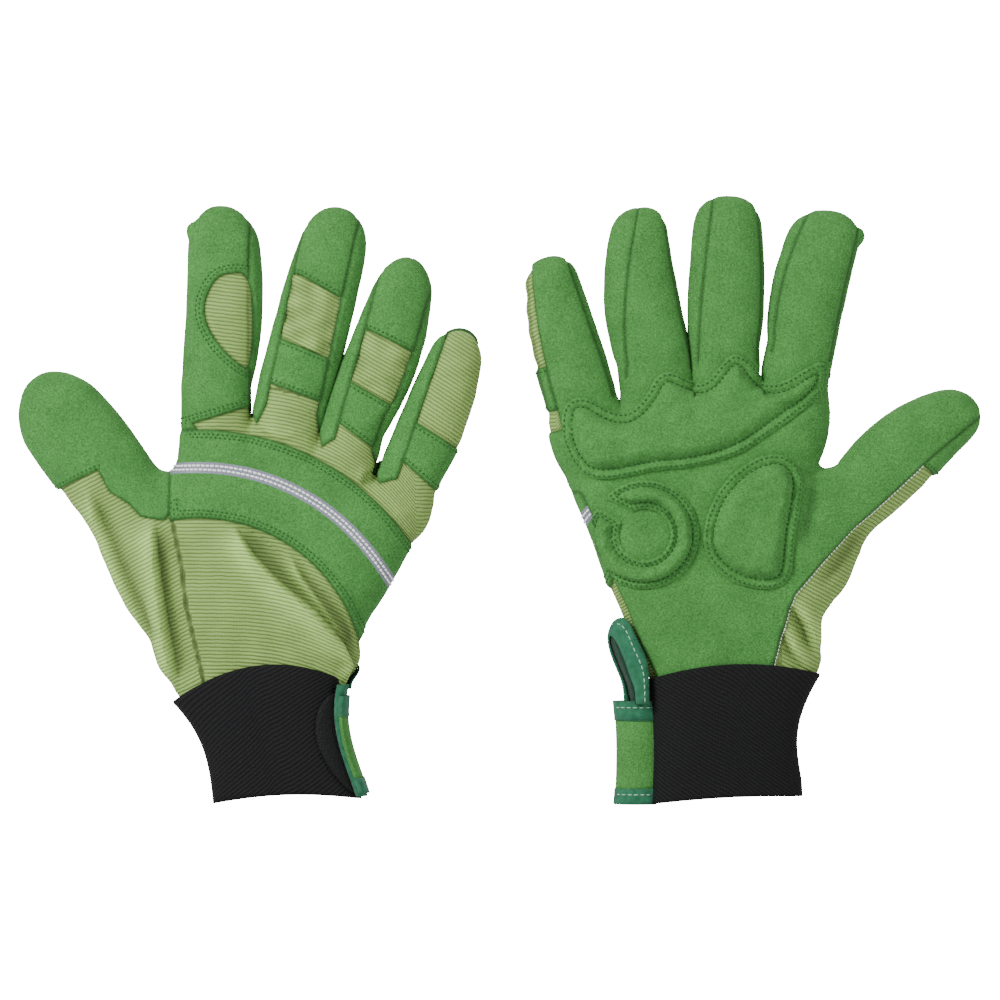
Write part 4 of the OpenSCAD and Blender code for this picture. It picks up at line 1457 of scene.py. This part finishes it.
def bound_slit(glove, cream):
    """The slit beside the wrist, its binding and its lining, coloured as a darker copy of the tape for
    painted shade.
    """
    def on_glove(points):
        u, v = np.array(points, float).T
        deep = np.array(SLIT_DEPTH, float)
        if glove.palm < 0:
            # smaller, and on the left glove's own side of the wrist
            u = -67.0 + (62 - u) * 0.5
            v = -74 + (v + 74) * 0.3
            deep = -deep * 0.5
        return eased(np.stack([u, v, deep], 1), 41, 4)

    rim, gap = on_glove(SLIT_OUTER), on_glove(SLIT_HOLE)
    q = np.linspace(0, 1, 7)[None, :, None]
    grid = rim[:, None] * (1 - q) + gap[:, None] * q
    toward = np.array([0, 0, float(glove.palm)])
    front = grid + toward * (crowned(grid, 1.3, True) + 0.1)
    slab(glove, "slit_binding_tape", "neck", front, grid - toward * 0.7, TAPE, "slit_binding")
    row = front[18:, 2]
    cream.sew(row, np.tile(toward, (len(row), 1)), TAPE_STITCH, zone="neck")
    # the lining, a darker copy of the tape that paints the shade inside the opening, closes the gap between
    # the two sides of the opening, from its foot to its top
    middle = (gap + gap[::-1]) / 2
    one, two = [(side + (side - middle) * 0.15)[: len(gap) // 2 + 1] for side in (gap, gap[::-1])]
    fill = np.stack([one, middle[: len(one)], two], 1)
    slab(glove, "slit_lining_painted_shade", "neck", fill - toward * 1.0, fill - toward * 1.8, SHADED_LINING)


for glove in GLOVES:
    tonal = Thread(glove, "tonal_stitches", TONAL)
    pale = Thread(glove, "pale_stitches", PALE)
    cream = Thread(glove, "tape_stitches", CREAM)
    build_hand(glove, tonal, pale)
    elastic_band(glove)
    hook_patch(glove)
    edge_binding(glove)
    closure_tab(glove, cream)
    bound_slit(glove, cream)
    for stitches in (cream, tonal, pale):
        stitches.finish()
left_over = [n for n, o in frame["nodes"].items() if not o.hide_render]
if left_over:
    raise SystemExit(f"CAD pieces that still show plain: {left_over}")

# ---- Camera, light and stage ----

VIEW_WIDTH = 1 / 2.4  # metres across the picture at the gloves
DISTANCE = 2.2  # metres from the camera to the gloves
SENSOR = 36
EYE = STAND / 1000 + 0.0017
BACKDROP = 22.0
GREY = (0.75, 0.75, 0.75, 1)
WHITE = (1, 1, 1, 1)


def place_object(name, data, location, target):
    """Puts a camera or a light in the scene, turned toward a target."""
    item = bpy.data.objects.new(name, data)
    item.location = location
    item.rotation_euler = (Vector(target) - Vector(location)).to_track_quat("-Z", "Y").to_euler()
    bpy.context.scene.collection.objects.link(item)
    return item


def area_light(name, location, size, power):
    data = bpy.data.lights.new(name, "AREA")
    data.shape = "DISK"
    data.size = size
    data.energy = power
    place_object(name, data, location, (0, 0, 0.12))


def white_to_camera(tree, surface, output, glow_kind):
    """Shines plain white at the camera only, so the backdrop lights nothing."""
    ray = tree.nodes.new("ShaderNodeLightPath")
    glow = tree.nodes.new(glow_kind)
    glow.inputs["Strength"].default_value = BACKDROP
    glow.inputs["Color"].default_value = WHITE
    mix = tree.nodes.new("ShaderNodeMixShader")
    links = (ray.outputs["Is Camera Ray"], tree.nodes[surface].outputs[0], glow.outputs[0])
    for socket, link in zip(mix.inputs, links):
        tree.links.new(link, socket)
    tree.links.new(mix.outputs[0], tree.nodes[output].inputs["Surface"])


lens = bpy.data.cameras.new("camera")
lens.lens = SENSOR * DISTANCE / VIEW_WIDTH
centre = -MIDDLE / 1000
bpy.context.scene.camera = place_object("camera", lens, (centre, -DISTANCE, EYE), (centre, 0, EYE))
area_light("key", (-1.3, -1.2, 1.1), 0.8, 52)
area_light("fill", (1.3, -1.2, 0.7), 1.4, 14)
area_light("back", (0.2, 1.5, 1.4), 1.4, 22)

world = bpy.data.worlds.new("world")
bpy.context.scene.world = world
world.use_nodes = True
sky = world.node_tree.nodes["Background"].inputs
sky["Color"].default_value = WHITE
sky["Strength"].default_value = 0.4
white_to_camera(world.node_tree, "Background", "World Output", "ShaderNodeBackground")
paper = bpy.data.materials.new("paper")
paper.use_nodes = True
paper.node_tree.nodes["Principled BSDF"].inputs["Base Color"].default_value = GREY
white_to_camera(paper.node_tree, "Principled BSDF", "Material Output", "ShaderNodeEmission")

floor_mesh = bpy.data.meshes.new("floor")
floor_mesh.from_pydata([(-4, -4, 0), (4, -4, 0), (4, 4, 0), (-4, 4, 0)], [], [(0, 1, 2, 3)])
floor = bpy.data.objects.new("floor", floor_mesh)
floor_mesh.materials.append(paper)
bpy.context.scene.collection.objects.link(floor)
